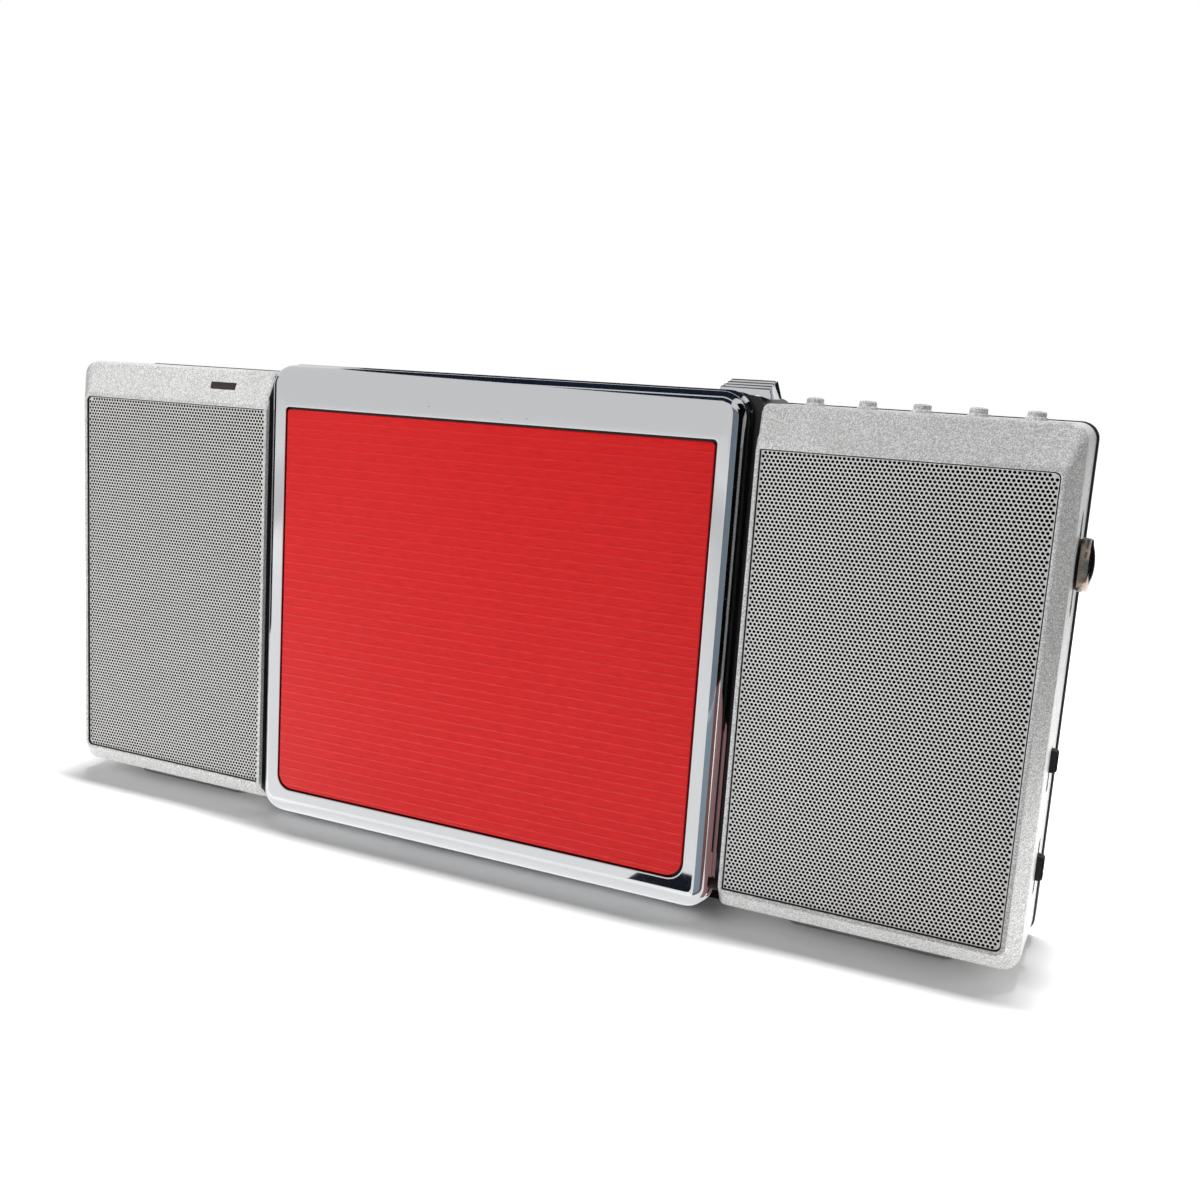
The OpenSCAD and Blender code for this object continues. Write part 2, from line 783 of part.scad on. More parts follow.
module disc_holder() {
    side_x = [pocket_w / 2, holder_w / 2];
    z = [stop_z0, stop_z0 + holder_h];
    color(steel) difference() {
        union() {
            block([-holder_w / 2, holder_w / 2], [holder_y0, pocket_y0], z);
            block([-holder_w / 2, holder_w / 2], [holder_y0, holder_y1], [stop_z0, stop_z0 + holder_t]);
            both_sides() {
                block(side_x, [holder_y0, holder_y1], z);
                block([holder_w / 2 - holder_rail, holder_w / 2], [pocket_y1, holder_y1], z);
                bar_x(ear_r, hinge_y, hinge_z, side_x);
            }
        }
        both_sides() bar_x(pin_r + run_clear, hinge_y, hinge_z, [side_x[0] - past, side_x[1] + past]);
        bar_y(holder_window_r, 0, disc_z, [holder_y0 - past, pocket_y0 + past]);
    }
}

// The thumb piece in Y and Z, with ridges across its sloping front
function lever_profile(z0, z1) = concat([[lever_y1, z1], [lever_y1, z0], [lever_y0, z0]],
    [for (i = [0 : 2 * ridges - 1]) let (t = (i + 0.5) / (2 * ridges))
        [lever_y0 + t * lever_d * 0.8, z0 + (z1 - z0) * min(1, 0.45 + t * 0.6) - (i % 2) * ridge_h]]);

module open_lever() {
    z0 = frame_z1 + lever_lift;
    z1 = frame_z1 + lever_proud;
    lever_x1 = lever_x0 + lever_w;
    stem_x0 = stem_x1 - stem_w;
    color(chrome) difference() {
        union() {
            intersection() {
                along_x([lever_x0, lever_x1]) polygon(lever_profile(z0, z1));
                along_y([lever_y0 - past, lever_y1 + past]) polygon([[lever_x0, z0], [lever_x1, z0],
                    [lever_x1 - lever_slope, z1], [lever_x0 + lever_slope, z1]]);
            }
            block([stem_x0, stem_x1], [lever_y - stem_t / 2, lever_y + stem_t / 2],
                [lever_z, z0 + lever_lift]);
            bar_x(stem_t / 2 + lever_lift, lever_y, lever_z, [stem_x0, stem_x1]);
            block([stem_x1 - hook_w, stem_x1], [hook_y0, lever_y], [hook_top - hook_t, hook_top]);
            block([stem_x1 - hook_w, stem_x1], [hook_y0, hook_y0 + hook_t],
                [hook_top - hook_t - hook_tooth, hook_top]);
        }
        bar_x(lever_pin_r + run_clear, lever_y, lever_z, [stem_x0 - past, stem_x1 + past]);
    }
}

module lever_pin() {
    color(steel)
        bar_x(lever_pin_r, lever_y, lever_z, [stem_x1 - stem_w - part_gap - ear_t, frame_in_x + ear_t]);
}

function button_x(i) = buttons_x + (i - (buttons - 1) / 2) * button_pitch;

// A push button: a domed cap, a flange under the wing's top and a foot over its switch
module top_button(i) {
    top = wing_z1 + button_proud;
    flange_z1 = inside_z1 - slide_clear;
    dome_r = button_d * 0.9;
    color(silver) translate([button_x(i), button_y, 0]) {
        intersection() {
            translate([0, 0, flange_z1 - flange_h])
                cylinder(r = button_d / 2, h = top - flange_z1 + flange_h);
            union() {
                translate([0, 0, top - dome_r]) sphere(dome_r);
                translate([0, 0, flange_z1 - flange_h]) cylinder(r = button_d / 2, h = wall + flange_h);
            }
        }
        translate([0, 0, flange_z1 - flange_h]) cylinder(r = button_d / 2 + button_flange, h = flange_h);
        translate([0, 0, button_end]) cylinder(r = foot_r, h = button_foot + flange_h / 2);
    }
}

module control_board() {
    color(board_green) block([buttons_x - control_w / 2, buttons_x + control_w / 2],
        [baffle_y1, baffle_y1 + control_d], [control_z1 - board_t, control_z1]);
}

module tact_switches() {
    plunger_h = 0.4;
    color(graphite) for (i = [0 : buttons - 1]) translate([button_x(i), button_y, control_z1]) {
        translate([-tact_w / 2, -tact_w / 2, 0]) cube([tact_w, tact_w, tact_h - plunger_h]);
        cylinder(r = foot_r, h = tact_h);
    }
}

module shuttle_knob() {
    stem_l = shuttle_d - 0.4;
    color(steel) {
        bar_x(shuttle_d / 2, control_y, shuttle_z,
            [wing_x1 + shuttle_base, wing_x1 + shuttle_proud - cap_t]);
        along_x([stem_end, wing_x1 + shuttle_base]) slot(control_y, shuttle_z, shuttle_stem, stem_l);
    }
}

// A shallow dome on the shuttle knob
module shuttle_cap() {
    cap_r = shuttle_d / 2 - cap_rim;
    dome_r = (cap_r * cap_r + cap_t * cap_t) / (2 * cap_t);
    color(black) translate([wing_x1 + shuttle_proud - cap_t, control_y, shuttle_z]) rotate([0, 90, 0])
        rotate_extrude() intersection() {
            square([cap_r, cap_t]);
            translate([0, cap_t - dome_r]) circle(dome_r, $fn = 360);
        }
}

// A ribbed knob of a slide switch, with ribs across its travel
module slide_knob(z, l) {
    ribs = 4;
    rib = l / (2 * ribs - 1);
    rib_h = 0.25;
    color(black) {
        block([stem_end, wing_x1 + slide_proud - rib_h], [control_y - slide_w / 2, control_y + slide_w / 2],
            [z - l / 2, z + l / 2]);
        for (i = [0 : ribs - 1])
            block([wing_x1 + slide_proud - rib_h, wing_x1 + slide_proud],
                [control_y - slide_w / 2, control_y + slide_w / 2],
                [z - l / 2 + 2 * i * rib, z - l / 2 + (2 * i + 1) * rib]);
    }
}

module hold_switch_knob() {
    slide_knob(hold_rest, hold_knob);
}

module tone_switch_knob() {
    slide_knob(tone_z, tone_knob);
}

module side_board() {
    color(board_green) block([side_board_x0, side_board_x1], [side_board_y, side_board_y + board_t],
        [side_board_z0, side_board_z1]);
}

module side_switches() {
    spare = 2;
    color(graphite) for (s = [[shuttle_z, shuttle_slot], [hold_z, hold_slot], [tone_z, tone_slot]])
        block([switch_face - switch_l, switch_face], [side_board_y - switch_d, side_board_y],
            [s[0] - s[1] / 2 - spare / 2, s[0] + s[1] / 2 + spare / 2]);
}

module jack_board() {
    color(board_green) left_side() block([battery_x + tray_x + part_gap, side_board_x1],
        [side_board_y, side_board_y + board_t], [side_board_z0, side_board_z1]);
}

// A socket body behind a round nose in the left wing's side, open at its mouth
module socket(z, bore_r, l) {
    difference() {
        union() {
            bar_x(socket_r, control_y, z, [inside_x1 - part_gap, wing_x1]);
            block([wing_x1 - l, inside_x1], [side_board_y - jack_body, side_board_y],
                [z - jack_body / 2, z + jack_body / 2]);
        }
        bar_x(bore_r, control_y, z, [wing_x1 - l + past, wing_x1 + past]);
    }
}

module headphone_jack() {
    color(black) left_side() socket(socket_z, plug_d / 2 + run_clear, jack_l);
}

module power_jack() {
    centre_pin_r = 0.65;
    color(black) left_side() {
        socket(power_z, power_d / 2, jack_l);
        bar_x(centre_pin_r, control_y, power_z, [wing_x1 - jack_l, wing_x1 - past]);
    }
}

module lamp_board() {
    color(board_green) left_side() block([lamp_x - lamp_board_w / 2, lamp_x + lamp_board_w / 2],
        [baffle_y1, baffle_y1 + lamp_board_d], [inside_z1 - board_t, inside_z1]);
}

module charge_lamp() {
    lamp_body = 3;
    color(red) left_side() block([lamp_x - lamp_body / 2, lamp_x + lamp_body / 2],
        [baffle_y1 + lamp_flange, baffle_y1 + lamp_flange + lamp_depth],
        [lamp_z - lamp_h / 2, inside_z1 - board_t]);
}

module lamp_window() {
    front = bevel_y - bevel_drop * (lamp_down - lamp_h / 2) / (border_top - rim);
    color("#5a1512") left_side() {
        block([lamp_x - lamp_w / 2, lamp_x + lamp_w / 2], [front, baffle_y1],
            [lamp_z - lamp_h / 2, lamp_z + lamp_h / 2]);
        block([lamp_x - lamp_w / 2 - lamp_flange, lamp_x + lamp_w / 2 + lamp_flange],
            [baffle_y1, baffle_y1 + lamp_flange], [lamp_z - lamp_h / 2 - lamp_flange, lamp_z + lamp_h / 2]);
    }
}

// A tray in the left wing, open to the battery door
module battery_tray() {
    color(graphite) left_side() difference() {
        block([battery_x - tray_x, battery_x + tray_x], [tray_y0, tray_y1],
            [battery_z - tray_h / 2, battery_z + tray_h / 2]);
        block([battery_x - tray_x + tray_wall, battery_x + tray_x - tray_wall],
            [tray_y0 + tray_floor, tray_y1 + past],
            [battery_z - tray_h / 2 + tray_wall, battery_z + tray_h / 2 - tray_wall]);
    }
}

module battery() {
    edge = 1.5;
    color("#8c9097") left_side() along_y([battery_y0, battery_y0 + battery_t])
        round_rect([battery_x - battery_w / 2, battery_x + battery_w / 2],
            [battery_z - battery_l / 2, battery_z + battery_l / 2], [edge, edge, edge, edge]);
}

module battery_contacts() {
    contact_w = 8;
    color(steel) left_side() for (z = [battery_z - battery_l / 2 - contact_t, battery_z + battery_l / 2])
        block([battery_x - contact_w / 2, battery_x + contact_w / 2], [battery_y0, battery_y0 + battery_t],
            [z, z + contact_t]);
}

// The battery door turns on two stub pins along its outer edge
module battery_door() {
    rib_w = 0.8;
    rib_h = 0.3;
    color(graphite) left_side() difference() {
        union() {
            block([door_x0, door_pin_x], [door_y, y_back], [door_z0, door_z1]);
            translate([door_pin_x, y_back - knuckle_r, door_z0])
                cylinder(r = knuckle_r, h = door_z1 - door_z0);
            translate([door_pin_x, y_back - knuckle_r, door_z0 - door_pin_l])
                cylinder(r = door_pin_r, h = door_z1 - door_z0 + 2 * door_pin_l);
        }
        for (i = [0 : grip_ribs - 1])
            block([door_x0 + past + 2 * i * rib_w, door_x0 + past + (2 * i + 1) * rib_w],
                [y_back - rib_h, y_back + past],
                [battery_z - 3 * past, battery_z + 3 * past]);
    }
}

module cover_outline(inset) {
    r = wing_corner - inset / 2;
    round_rect([-wing_x1 + inset, wing_x1 - inset], [wing_z0 + inset, wing_z1 - inset], [r, r, r, r],
        $fn = 32);
}

module rear_cover() {
    edge = 1.5;
    edge_thin = 0.01;
    inner_corner = max(wing_corner - wall, 0.5);
    post_end = [main_x1 - post_in, main_z0 + post_in, main_z1 - post_in];
    color(black) difference() {
        union() {
            difference() {
                hull() {
                    along_y([shell_back, y_back - edge]) cover_outline(0);
                    along_y([y_back - edge_thin, y_back]) cover_outline(edge);
                }
                along_y([shell_back - past, y_back - wall])
                    round_rect([-inside_x1, inside_x1], [inside_z0, inside_z1],
                        [inner_corner, inner_corner, inner_corner, inner_corner]);
            }
            both_sides() for (b = concat(wing_bosses, frame_bosses))
                bar_y(boss_r, b[0], b[1], [shell_back, y_back - wall / 2]);
            both_sides() for (z = [post_end[1], post_end[2]])
                bar_y(post_r, post_end[0], z, [main_y1, y_back - wall / 2]);
        }
        both_sides() for (b = concat(wing_bosses, frame_bosses)) {
            bar_y(screw_hole_r + seat_clear, b[0], b[1], [shell_back - past, y_back + past]);
            bar_y(screw_head_r + seat_clear, b[0], b[1], [y_back - screw_head_t, y_back + past]);
        }
        left_side() {
            block([door_x0 - part_gap, door_x1 + part_gap], [shell_back - past, y_back + past],
                [door_z0 - part_gap, door_z1 + part_gap]);
            translate([door_pin_x, y_back - knuckle_r, door_z0 - door_pin_l - part_gap])
                cylinder(r = door_pin_r + run_clear, h = door_z1 - door_z0 + 2 * (door_pin_l + part_gap));
        }
    }
}

module case_screws() {
    color(steel) both_sides() for (b = concat(wing_bosses, frame_bosses)) {
        bar_y(screw_hole_r, b[0], b[1], [shell_back - boss_l + wall, y_back]);
        bar_y(screw_head_r, b[0], b[1], [y_back - screw_head_t, y_back]);
    }
}

module drive_chassis() {
    window_x = [pickup_x - pickup_w / 2 - window_gap, pickup_x + pickup_travel + pickup_w / 2 + window_gap];
    tab_y = [chassis_y0, chassis_y1 + tab_d];
    color(steel) difference() {
        union() {
            block([-chassis_x1, chassis_x1], [chassis_y0, chassis_y1],
                [disc_z - chassis_z, disc_z + chassis_z]);
            block([tab_x0, tab_x0 + tab_t], tab_y, [disc_z + rod_z - tab_r, disc_z + rod_z + tab_r]);
            block([tab_x0, tab_x0 + tab_t], tab_y, [screw_z - tab_r, disc_z - rod_z + tab_r]);
            block([tab_x1, tab_x1 + tab_t], tab_y, [screw_z - tab_r, disc_z + rod_z + tab_r]);
        }
        bar_y(shaft_r + 2, 0, disc_z, [chassis_y0 - past, chassis_y1 + past]);
        block(window_x, [chassis_y0 - past, chassis_y1 + past],
            [disc_z - pickup_half - window_gap, disc_z + pickup_half + window_gap]);
        for (z = [disc_z - rod_z, disc_z + rod_z])
            bar_x(rod_r + seat_clear, rod_y, z, [tab_x0 - past, tab_x1 + tab_t + past]);
        bar_x(screw_r + run_clear, sled_y, screw_z, [tab_x0 - past, tab_x1 + tab_t + past]);
        for (d = damper_places)
            bar_y(drive_screw_r + seat_clear, d[0], d[1], [chassis_y0 - past, chassis_y1 + past]);
    }
}

module drive_dampers() {
    color(black) for (d = damper_places) difference() {
        bar_y(damper_r, d[0], d[1], [chassis_y1, lug_y0]);
        bar_y(drive_screw_r + seat_clear, d[0], d[1], [chassis_y1 - past, lug_y0 + past]);
    }
}

module drive_screws() {
    color(steel) for (d = damper_places) {
        bar_y(drive_screw_r, d[0], d[1], [chassis_y0, lug_y0 + lug_t]);
        bar_y(drive_head_r, d[0], d[1], [lug_y0 + lug_t, lug_y0 + lug_t + drive_head_t]);
    }
}

module spindle_motor() {
    color(steel) difference() {
        bar_y(spindle_r, 0, disc_z, [chassis_y1, chassis_y1 + spindle_h]);
        bar_y(shaft_r + run_clear, 0, disc_z, [chassis_y1 - past, chassis_y1 + spindle_h - past]);
    }
}

// The turntable with its centring cone and its shaft
module turntable() {
    cone_top = 2.4;
    cone_foot = 3.4;
    plate_t = 0.7;
    shaft_y1 = chassis_y1 + spindle_h - past - part_gap;
    color(steel) translate([0, 0, disc_z]) rotate([-90, 0, 0]) rotate_extrude()
        polygon([[0, turntable_y0], [cone_top, turntable_y0], [cone_foot, turntable_y1 - plate_t],
            [turntable_r, turntable_y1 - plate_t], [turntable_r, turntable_y1], [shaft_r, turntable_y1],
            [shaft_r, shaft_y1], [0, shaft_y1]]);
}

module sled_motor() {
    color(graphite) difference() {
        bar_x(sled_motor_r, sled_y, screw_z, [tab_x0 - sled_l, tab_x0]);
        bar_x(stub_r + run_clear, sled_y, screw_z, [tab_x0 - stub_l - part_gap, tab_x0 + past]);
    }
}

// The lead screw, with rings for its thread and a stub in the sled motor
module lead_screw() {
    lead = 3;
    thread_d = 0.2;
    screw_end = tab_x1 + tab_t;
    turns = floor((tab_x1 - tab_x0 - tab_t - 2) / lead);
    color(steel) {
        difference() {
            bar_x(screw_r, sled_y, screw_z, [tab_x0 + part_gap, screw_end]);
            for (i = [0 : turns])
                translate([tab_x0 + tab_t + past + i * lead, sled_y, screw_z]) rotate([0, 90, 0])
                    rotate_extrude() translate([screw_r, 0]) circle(thread_d);
        }
        bar_x(stub_r, sled_y, screw_z, [tab_x0 - stub_l, tab_x0 + past]);
    }
}

module guide_rods() {
    color(chrome) for (z = [disc_z - rod_z, disc_z + rod_z])
        bar_x(rod_r, rod_y, z, [tab_x0, tab_x1 + tab_t]);
}

// The pickup runs on both rods, and its nut arm lies along the lead screw
module optical_pickup() {
    x = [pickup_x - pickup_w / 2, pickup_x + pickup_w / 2];
    color(graphite) difference() {
        union() {
            block(x, [pickup_y0 + part_gap, pickup_y1], [disc_z - pickup_half, disc_z + pickup_half]);
            block([pickup_x - nut_w / 2, pickup_x + nut_w / 2], [sled_y - screw_r, pickup_y1],
                [screw_z, disc_z - pickup_half]);
        }
        for (z = [disc_z - rod_z, disc_z + rod_z])
            bar_x(rod_r + run_clear, rod_y, z, [x[0] - past, x[1] + past]);
        bar_x(screw_r + run_clear, sled_y, screw_z, [x[0] - past, x[1] + past]);
        bar_y(lens_r, pickup_x, disc_z, [pickup_y0 - past, pickup_y0 + 2 * past]);
    }
}

module pickup_lens() {
    color("#6f8fd0") bar_y(lens_r - seat_clear, pickup_x, disc_z, [pickup_y0, pickup_y0 + 2 * past]);
}

module main_board() {
    color(board_green) block([-main_x1, main_x1], [main_y0, main_y1], [main_z0, main_z1]);
}

module board_chips() {
    chip_t = 1;
    chip_w = 12;
    small_w = 8;
    across = main_x1 / 37;
    up = (main_z1 - main_z0) / 61.2;
    chips = [[-18, 24, chip_w], [8, 30, small_w], [-6, 52, small_w], [20, 50, small_w]];
    color(black) for (c = chips) block([c[0] * across, c[0] * across + c[2]], [main_y1, main_y1 + chip_t],
        [main_z0 + c[1] * up - c[2] / 2, main_z0 + c[1] * up + c[2] / 2]);
}

module foot(x, w) {
    r = foot_corner;
    translate([x, foot_y, 0]) linear_extrude(wing_z0)
        round_rect([-w / 2, w / 2], [-foot_d / 2, foot_d / 2], [r, r, r, r]);
}

module rubber_feet() {
    color(black) {
        foot(-speaker_x, wing_foot_w);
        foot(0, frame_foot_w);
        foot(speaker_x, wing_foot_w);
    }
}

rear_cover();
left_shell();
right_shell();
left_side() grille();  // left_grille
grille();  // right_grille
left_side() grille_cloth();  // left_grille_cloth
grille_cloth();  // right_grille_cloth
left_side() speaker_basket();  // left_speaker_basket
speaker_basket();  // right_speaker_basket
left_side() speaker_magnet();  // left_speaker_magnet
speaker_magnet();  // right_speaker_magnet
left_side() speaker_cone();  // left_speaker_cone
speaker_cone();  // right_speaker_cone
player_frame();
top_strip();
hinge_pins();
lid_frame();
lid_panel();
lid_catch();
disc_holder();
open_lever();
lever_pin();
top_button(0);  // top_button_1
top_button(1);  // top_button_2
top_button(2);  // top_button_3
top_button(3);  // top_button_4
top_button(4);  // top_button_5
control_board();
tact_switches();
shuttle_knob();
shuttle_cap();
hold_switch_knob();
tone_switch_knob();
side_board();
side_switches();
jack_board();
headphone_jack();
power_jack();
lamp_board();
charge_lamp();
lamp_window();
battery_tray();
battery();
battery_contacts();
battery_door();
drive_chassis();
drive_dampers();
drive_screws();
spindle_motor();
turntable();
sled_motor();
lead_screw();
guide_rods();
optical_pickup();
pickup_lens();
main_board();
board_chips();
rubber_feet();
case_screws();
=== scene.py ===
"""Portable disc player with a tilting lid between two speaker wings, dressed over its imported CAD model.

Lengths are millimetres until a mesh is written, in the CAD model's frame: +X right, +Y back, +Z up.
"""
import math

import bmesh
import bpy
import numpy as np
from mathutils import Matrix


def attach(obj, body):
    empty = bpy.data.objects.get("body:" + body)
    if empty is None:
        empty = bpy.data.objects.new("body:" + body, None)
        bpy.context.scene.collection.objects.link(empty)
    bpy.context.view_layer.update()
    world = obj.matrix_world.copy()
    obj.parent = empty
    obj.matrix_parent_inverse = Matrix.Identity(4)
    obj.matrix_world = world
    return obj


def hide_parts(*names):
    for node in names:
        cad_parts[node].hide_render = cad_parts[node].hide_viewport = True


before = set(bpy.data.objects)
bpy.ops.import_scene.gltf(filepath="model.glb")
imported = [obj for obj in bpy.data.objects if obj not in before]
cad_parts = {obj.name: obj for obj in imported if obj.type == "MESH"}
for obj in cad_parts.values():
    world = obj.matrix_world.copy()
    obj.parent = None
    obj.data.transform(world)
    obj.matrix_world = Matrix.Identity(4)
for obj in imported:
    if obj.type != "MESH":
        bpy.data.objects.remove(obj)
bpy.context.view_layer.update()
scene = bpy.context.scene
scene.view_settings.view_transform = "Standard"
MM = 0.001


def placed(name, data, axes=(), at=(0, 0, 0)):
    """A new object in the scene; axes are its right, up and back directions, and at is its place in mm."""
    made = bpy.data.objects.new(name, data)
    scene.collection.objects.link(made)
    if axes:
        made.matrix_world = Matrix([(*row, v * MM) for row, v in zip(zip(*axes), at)] + [(0, 0, 0, 1)])
    return made


# ---- camera

# Fitted on the edges of the lid, the panel and the grilles
EYE = (87.117, -168.576, 73.563)
RIGHT = (0.913848, 0.400586, 0.066427)
UP = (-0.125397, 0.122816, 0.984475)
BACK = (0.386208, -0.907991, 0.162467)

lens = bpy.data.cameras.new("camera")
lens.lens, lens.sensor_width, lens.clip_start = 35.662, 36, 0.01
scene.camera = placed("camera", lens, (RIGHT, UP, BACK), EYE)

# ---- materials

MIDDLE = {"From Min": 0.3, "From Max": 0.7}  # where most values of a noise lie
FALLING = {"To Min": 1.0, "To Max": 0.0}
SILVER_STOPS = [(0.0, "#A4A4A3"), (0.6, "#CBCBCA"), (1.0, "#F0F0EF")]
FLAKE, FLAKE_METAL = 0.12, 0.35  # of the silver paint: size in mm, and how metallic


def colour(code):
    """An sRGB hex colour as linear RGBA."""
    c = np.array([int(code[i:i + 2], 16) for i in (1, 3, 5)]) / 255
    c = np.where(c <= 0.04045, c / 12.92, ((c + 0.055) / 1.055) ** 2.4)
    return (*c.tolist(), 1.0)


def add(tree, kind, inputs=None, stops=(), **settings):
    """Adds a node: settings are its own fields, stops the places and hex colours of its ramp, and inputs its
    sockets, each with a value, a hex colour, another node's output, or another node for its first output."""
    made = tree.nodes.new("ShaderNode" + kind)
    for key, value in settings.items():
        setattr(made, key, value)
    for i, (at, code) in enumerate(stops):
        ramp = made.color_ramp.elements
        stop = ramp[i] if i < len(ramp) else ramp.new(at)
        stop.position, stop.color = at, colour(code)
    for key, value in (inputs or {}).items():
        if isinstance(value, bpy.types.Node):
            value = value.outputs[0]
        if isinstance(value, bpy.types.NodeSocket):
            tree.links.new(value, made.inputs[key])
        else:
            made.inputs[key].default_value = colour(value) if isinstance(value, str) else value
    return made


def per(size):
    """A pattern's scale, from its size in mm."""
    return 1000 / size


def begin(name):
    """An empty material, with its tree and its Object coordinates."""
    mat = bpy.data.materials.new(name)
    mat.use_nodes = True
    tree = mat.node_tree
    tree.nodes.clear()
    return mat, tree, add(tree, "TexCoord").outputs["Object"]


def silver_paint():
    """Sprayed silver on ABS: aluminium flakes a few hundredths of a millimetre wide, drawn at 0.12 mm so that
    their sparkle shows, over the faint orange peel of a sprayed coat."""
    mat, tree, place = begin("silver_flake_paint_sprayed_on_abs")
    flake = add(tree, "TexVoronoi", {"Vector": place, "Scale": per(FLAKE)})
    one = add(tree, "SeparateColor", {0: flake.outputs["Color"]})
    cloud = add(tree, "TexNoise", {"Vector": place, "Scale": per(9)})
    mixed = add(tree, "Math", {0: cloud, 1: 0.25, 2: one}, operation="MULTIPLY_ADD")
    base = add(tree, "ValToRGB", {0: mixed}, SILVER_STOPS)
    rough = add(tree, "MapRange", {"Value": one.outputs[1], "To Min": 0.34, "To Max": 0.46})
    peel = add(tree, "TexNoise", {"Vector": place, "Scale": per(0.2)})
    bump = add(tree, "Bump", {"Height": peel, "Distance": 0.006 * MM, "Strength": 0.5})
    add(tree, "OutputMaterial", {"Surface": add(tree, "BsdfPrincipled", {
        "Base Color": base, "Roughness": rough, "Metallic": FLAKE_METAL, "Normal": bump})})
    return mat


def chrome_plate():
    """Electroplated chromium on moulded ABS: a mirror with the moulding's faint waviness, a hint of haze, and
    the pin-prick pits of a worn plating, about 0.2 mm wide and rare."""
    mat, tree, place = begin("chrome_plated_abs")
    pit = add(tree, "TexVoronoi", {"Vector": place, "Scale": per(2.2)})
    spot = add(tree, "MapRange", {"Value": pit, "From Min": 0.035, "From Max": 0.055, **FALLING})
    patch = add(tree, "TexNoise", {"Vector": place, "Scale": per(14)})
    worn = add(tree, "MapRange", {"Value": patch, "From Min": 0.52, "From Max": 0.62})
    mark = add(tree, "Math", {0: spot, 1: worn}, operation="MULTIPLY")
    base = add(tree, "ValToRGB", {0: mark}, [(0.0, "#C0C1C3"), (1.0, "#6A6B6E")])
    haze = add(tree, "TexNoise", {"Vector": place, "Scale": per(5), "Detail": 4.0})
    dull = add(tree, "MapRange", {"Value": haze, **MIDDLE, "To Min": 0.04, "To Max": 0.09})
    rough = add(tree, "Math", {0: mark, 1: 0.4, 2: dull}, operation="MULTIPLY_ADD")
    wave = add(tree, "TexNoise", {"Vector": place, "Scale": per(6), "Detail": 1.0})
    bump = add(tree, "Bump", {"Height": wave, "Distance": 0.01 * MM, "Strength": 0.35})
    add(tree, "OutputMaterial", {"Surface": add(tree, "BsdfPrincipled", {
        "Base Color": base, "Roughness": rough, "Metallic": 1.0, "Normal": bump})})
    return mat


def red_panel_lacquer():
    """Satin red lacquer on a moulded panel: an even strong red with a soft sheen, and the fine streaks across
    it that the mould's graining leaves, 0.25 mm apart. Paler crests on the ribs are a painted highlight, patchy
    with the streaks and stronger low down."""
    mat, tree, place = begin("satin_red_lacquer_on_moulded_abs")
    run = add(tree, "Mapping", {"Vector": place, "Scale": (0.12, 1, 1)})
    streak = add(tree, "TexNoise", {"Vector": run, "Scale": per(0.25), "Detail": 3.0})
    base = add(tree, "ValToRGB", {0: streak}, [(0.3, "#DA1E20"), (0.7, "#EC2527")])
    at = add(tree, "SeparateXYZ", {0: place})
    crest = add(tree, "MapRange", {
        "Value": at.outputs["Y"], "From Min": -11.96 * MM, "From Max": -11.978 * MM})
    low = add(tree, "MapRange", {
        "Value": at.outputs["Z"], "From Min": 66 * MM, "From Max": 22 * MM, "To Min": 0.1})
    part = add(tree, "MapRange", {"Value": streak, "From Min": 0.38, "From Max": 0.6, "To Min": 0.35})
    # painted highlight on the ribs' crests, strongest low down and broken up by the streaks
    crest_highlight = add(tree, "Math", {0: crest, 1: low}, operation="MULTIPLY")
    crest_highlight = add(tree, "Math", {0: crest_highlight, 1: part}, operation="MULTIPLY")
    base = add(tree, "Mix", {0: crest_highlight, 6: base, 7: "#E84340"}, data_type="RGBA").outputs[2]
    rough = add(tree, "MapRange", {"Value": streak, **MIDDLE, "To Min": 0.36, "To Max": 0.5})
    bump = add(tree, "Bump", {"Height": streak, "Distance": 0.006 * MM, "Strength": 0.3})
    add(tree, "OutputMaterial", {"Surface": add(tree, "BsdfPrincipled", {
        "Base Color": base, "Roughness": rough, "Specular IOR Level": 0.2, "Normal": bump})})
    return mat


def grille_paint():
    """Punched steel sheet with a silver-grey coat: matt, a little warm, and finely speckled at 0.2 mm."""
    mat, tree, place = begin("grey_coated_punched_steel")
    speck = add(tree, "TexNoise", {"Vector": place, "Scale": per(0.2)})
    base = add(tree, "ValToRGB", {0: speck}, [(0.3, "#DAD8D6"), (0.7, "#E9E7E4")])
    rough = add(tree, "MapRange", {"Value": speck, **MIDDLE, "To Min": 0.42, "To Max": 0.58})
    bump = add(tree, "Bump", {"Height": speck, "Distance": 0.006 * MM, "Strength": 0.5})
    add(tree, "OutputMaterial", {"Surface": add(tree, "BsdfPrincipled", {
        "Base Color": base, "Roughness": rough, "Metallic": 0.15, "Normal": bump})})
    return mat


def moulded(name, low, high, rough, grain_mm=0.35, depth=0.012):
    """A moulded plastic or rubber whose spark-eroded mould leaves a fine even grain, drawn at grain_mm, between
    a low and a high colour."""
    mat, tree, place = begin(name)
    grain = add(tree, "TexNoise", {"Vector": place, "Scale": per(grain_mm), "Detail": 3.0})
    base = add(tree, "ValToRGB", {0: grain}, [(0.25, low), (0.75, high)])
    dull = add(tree, "MapRange", {"Value": grain, **MIDDLE, "To Min": rough - 0.07, "To Max": rough + 0.07})
    bump = add(tree, "Bump", {"Height": grain, "Distance": depth * MM, "Strength": 0.6})
    add(tree, "OutputMaterial", {"Surface": add(tree, "BsdfPrincipled", {
        "Base Color": base, "Roughness": dull, "Normal": bump})})
    return mat


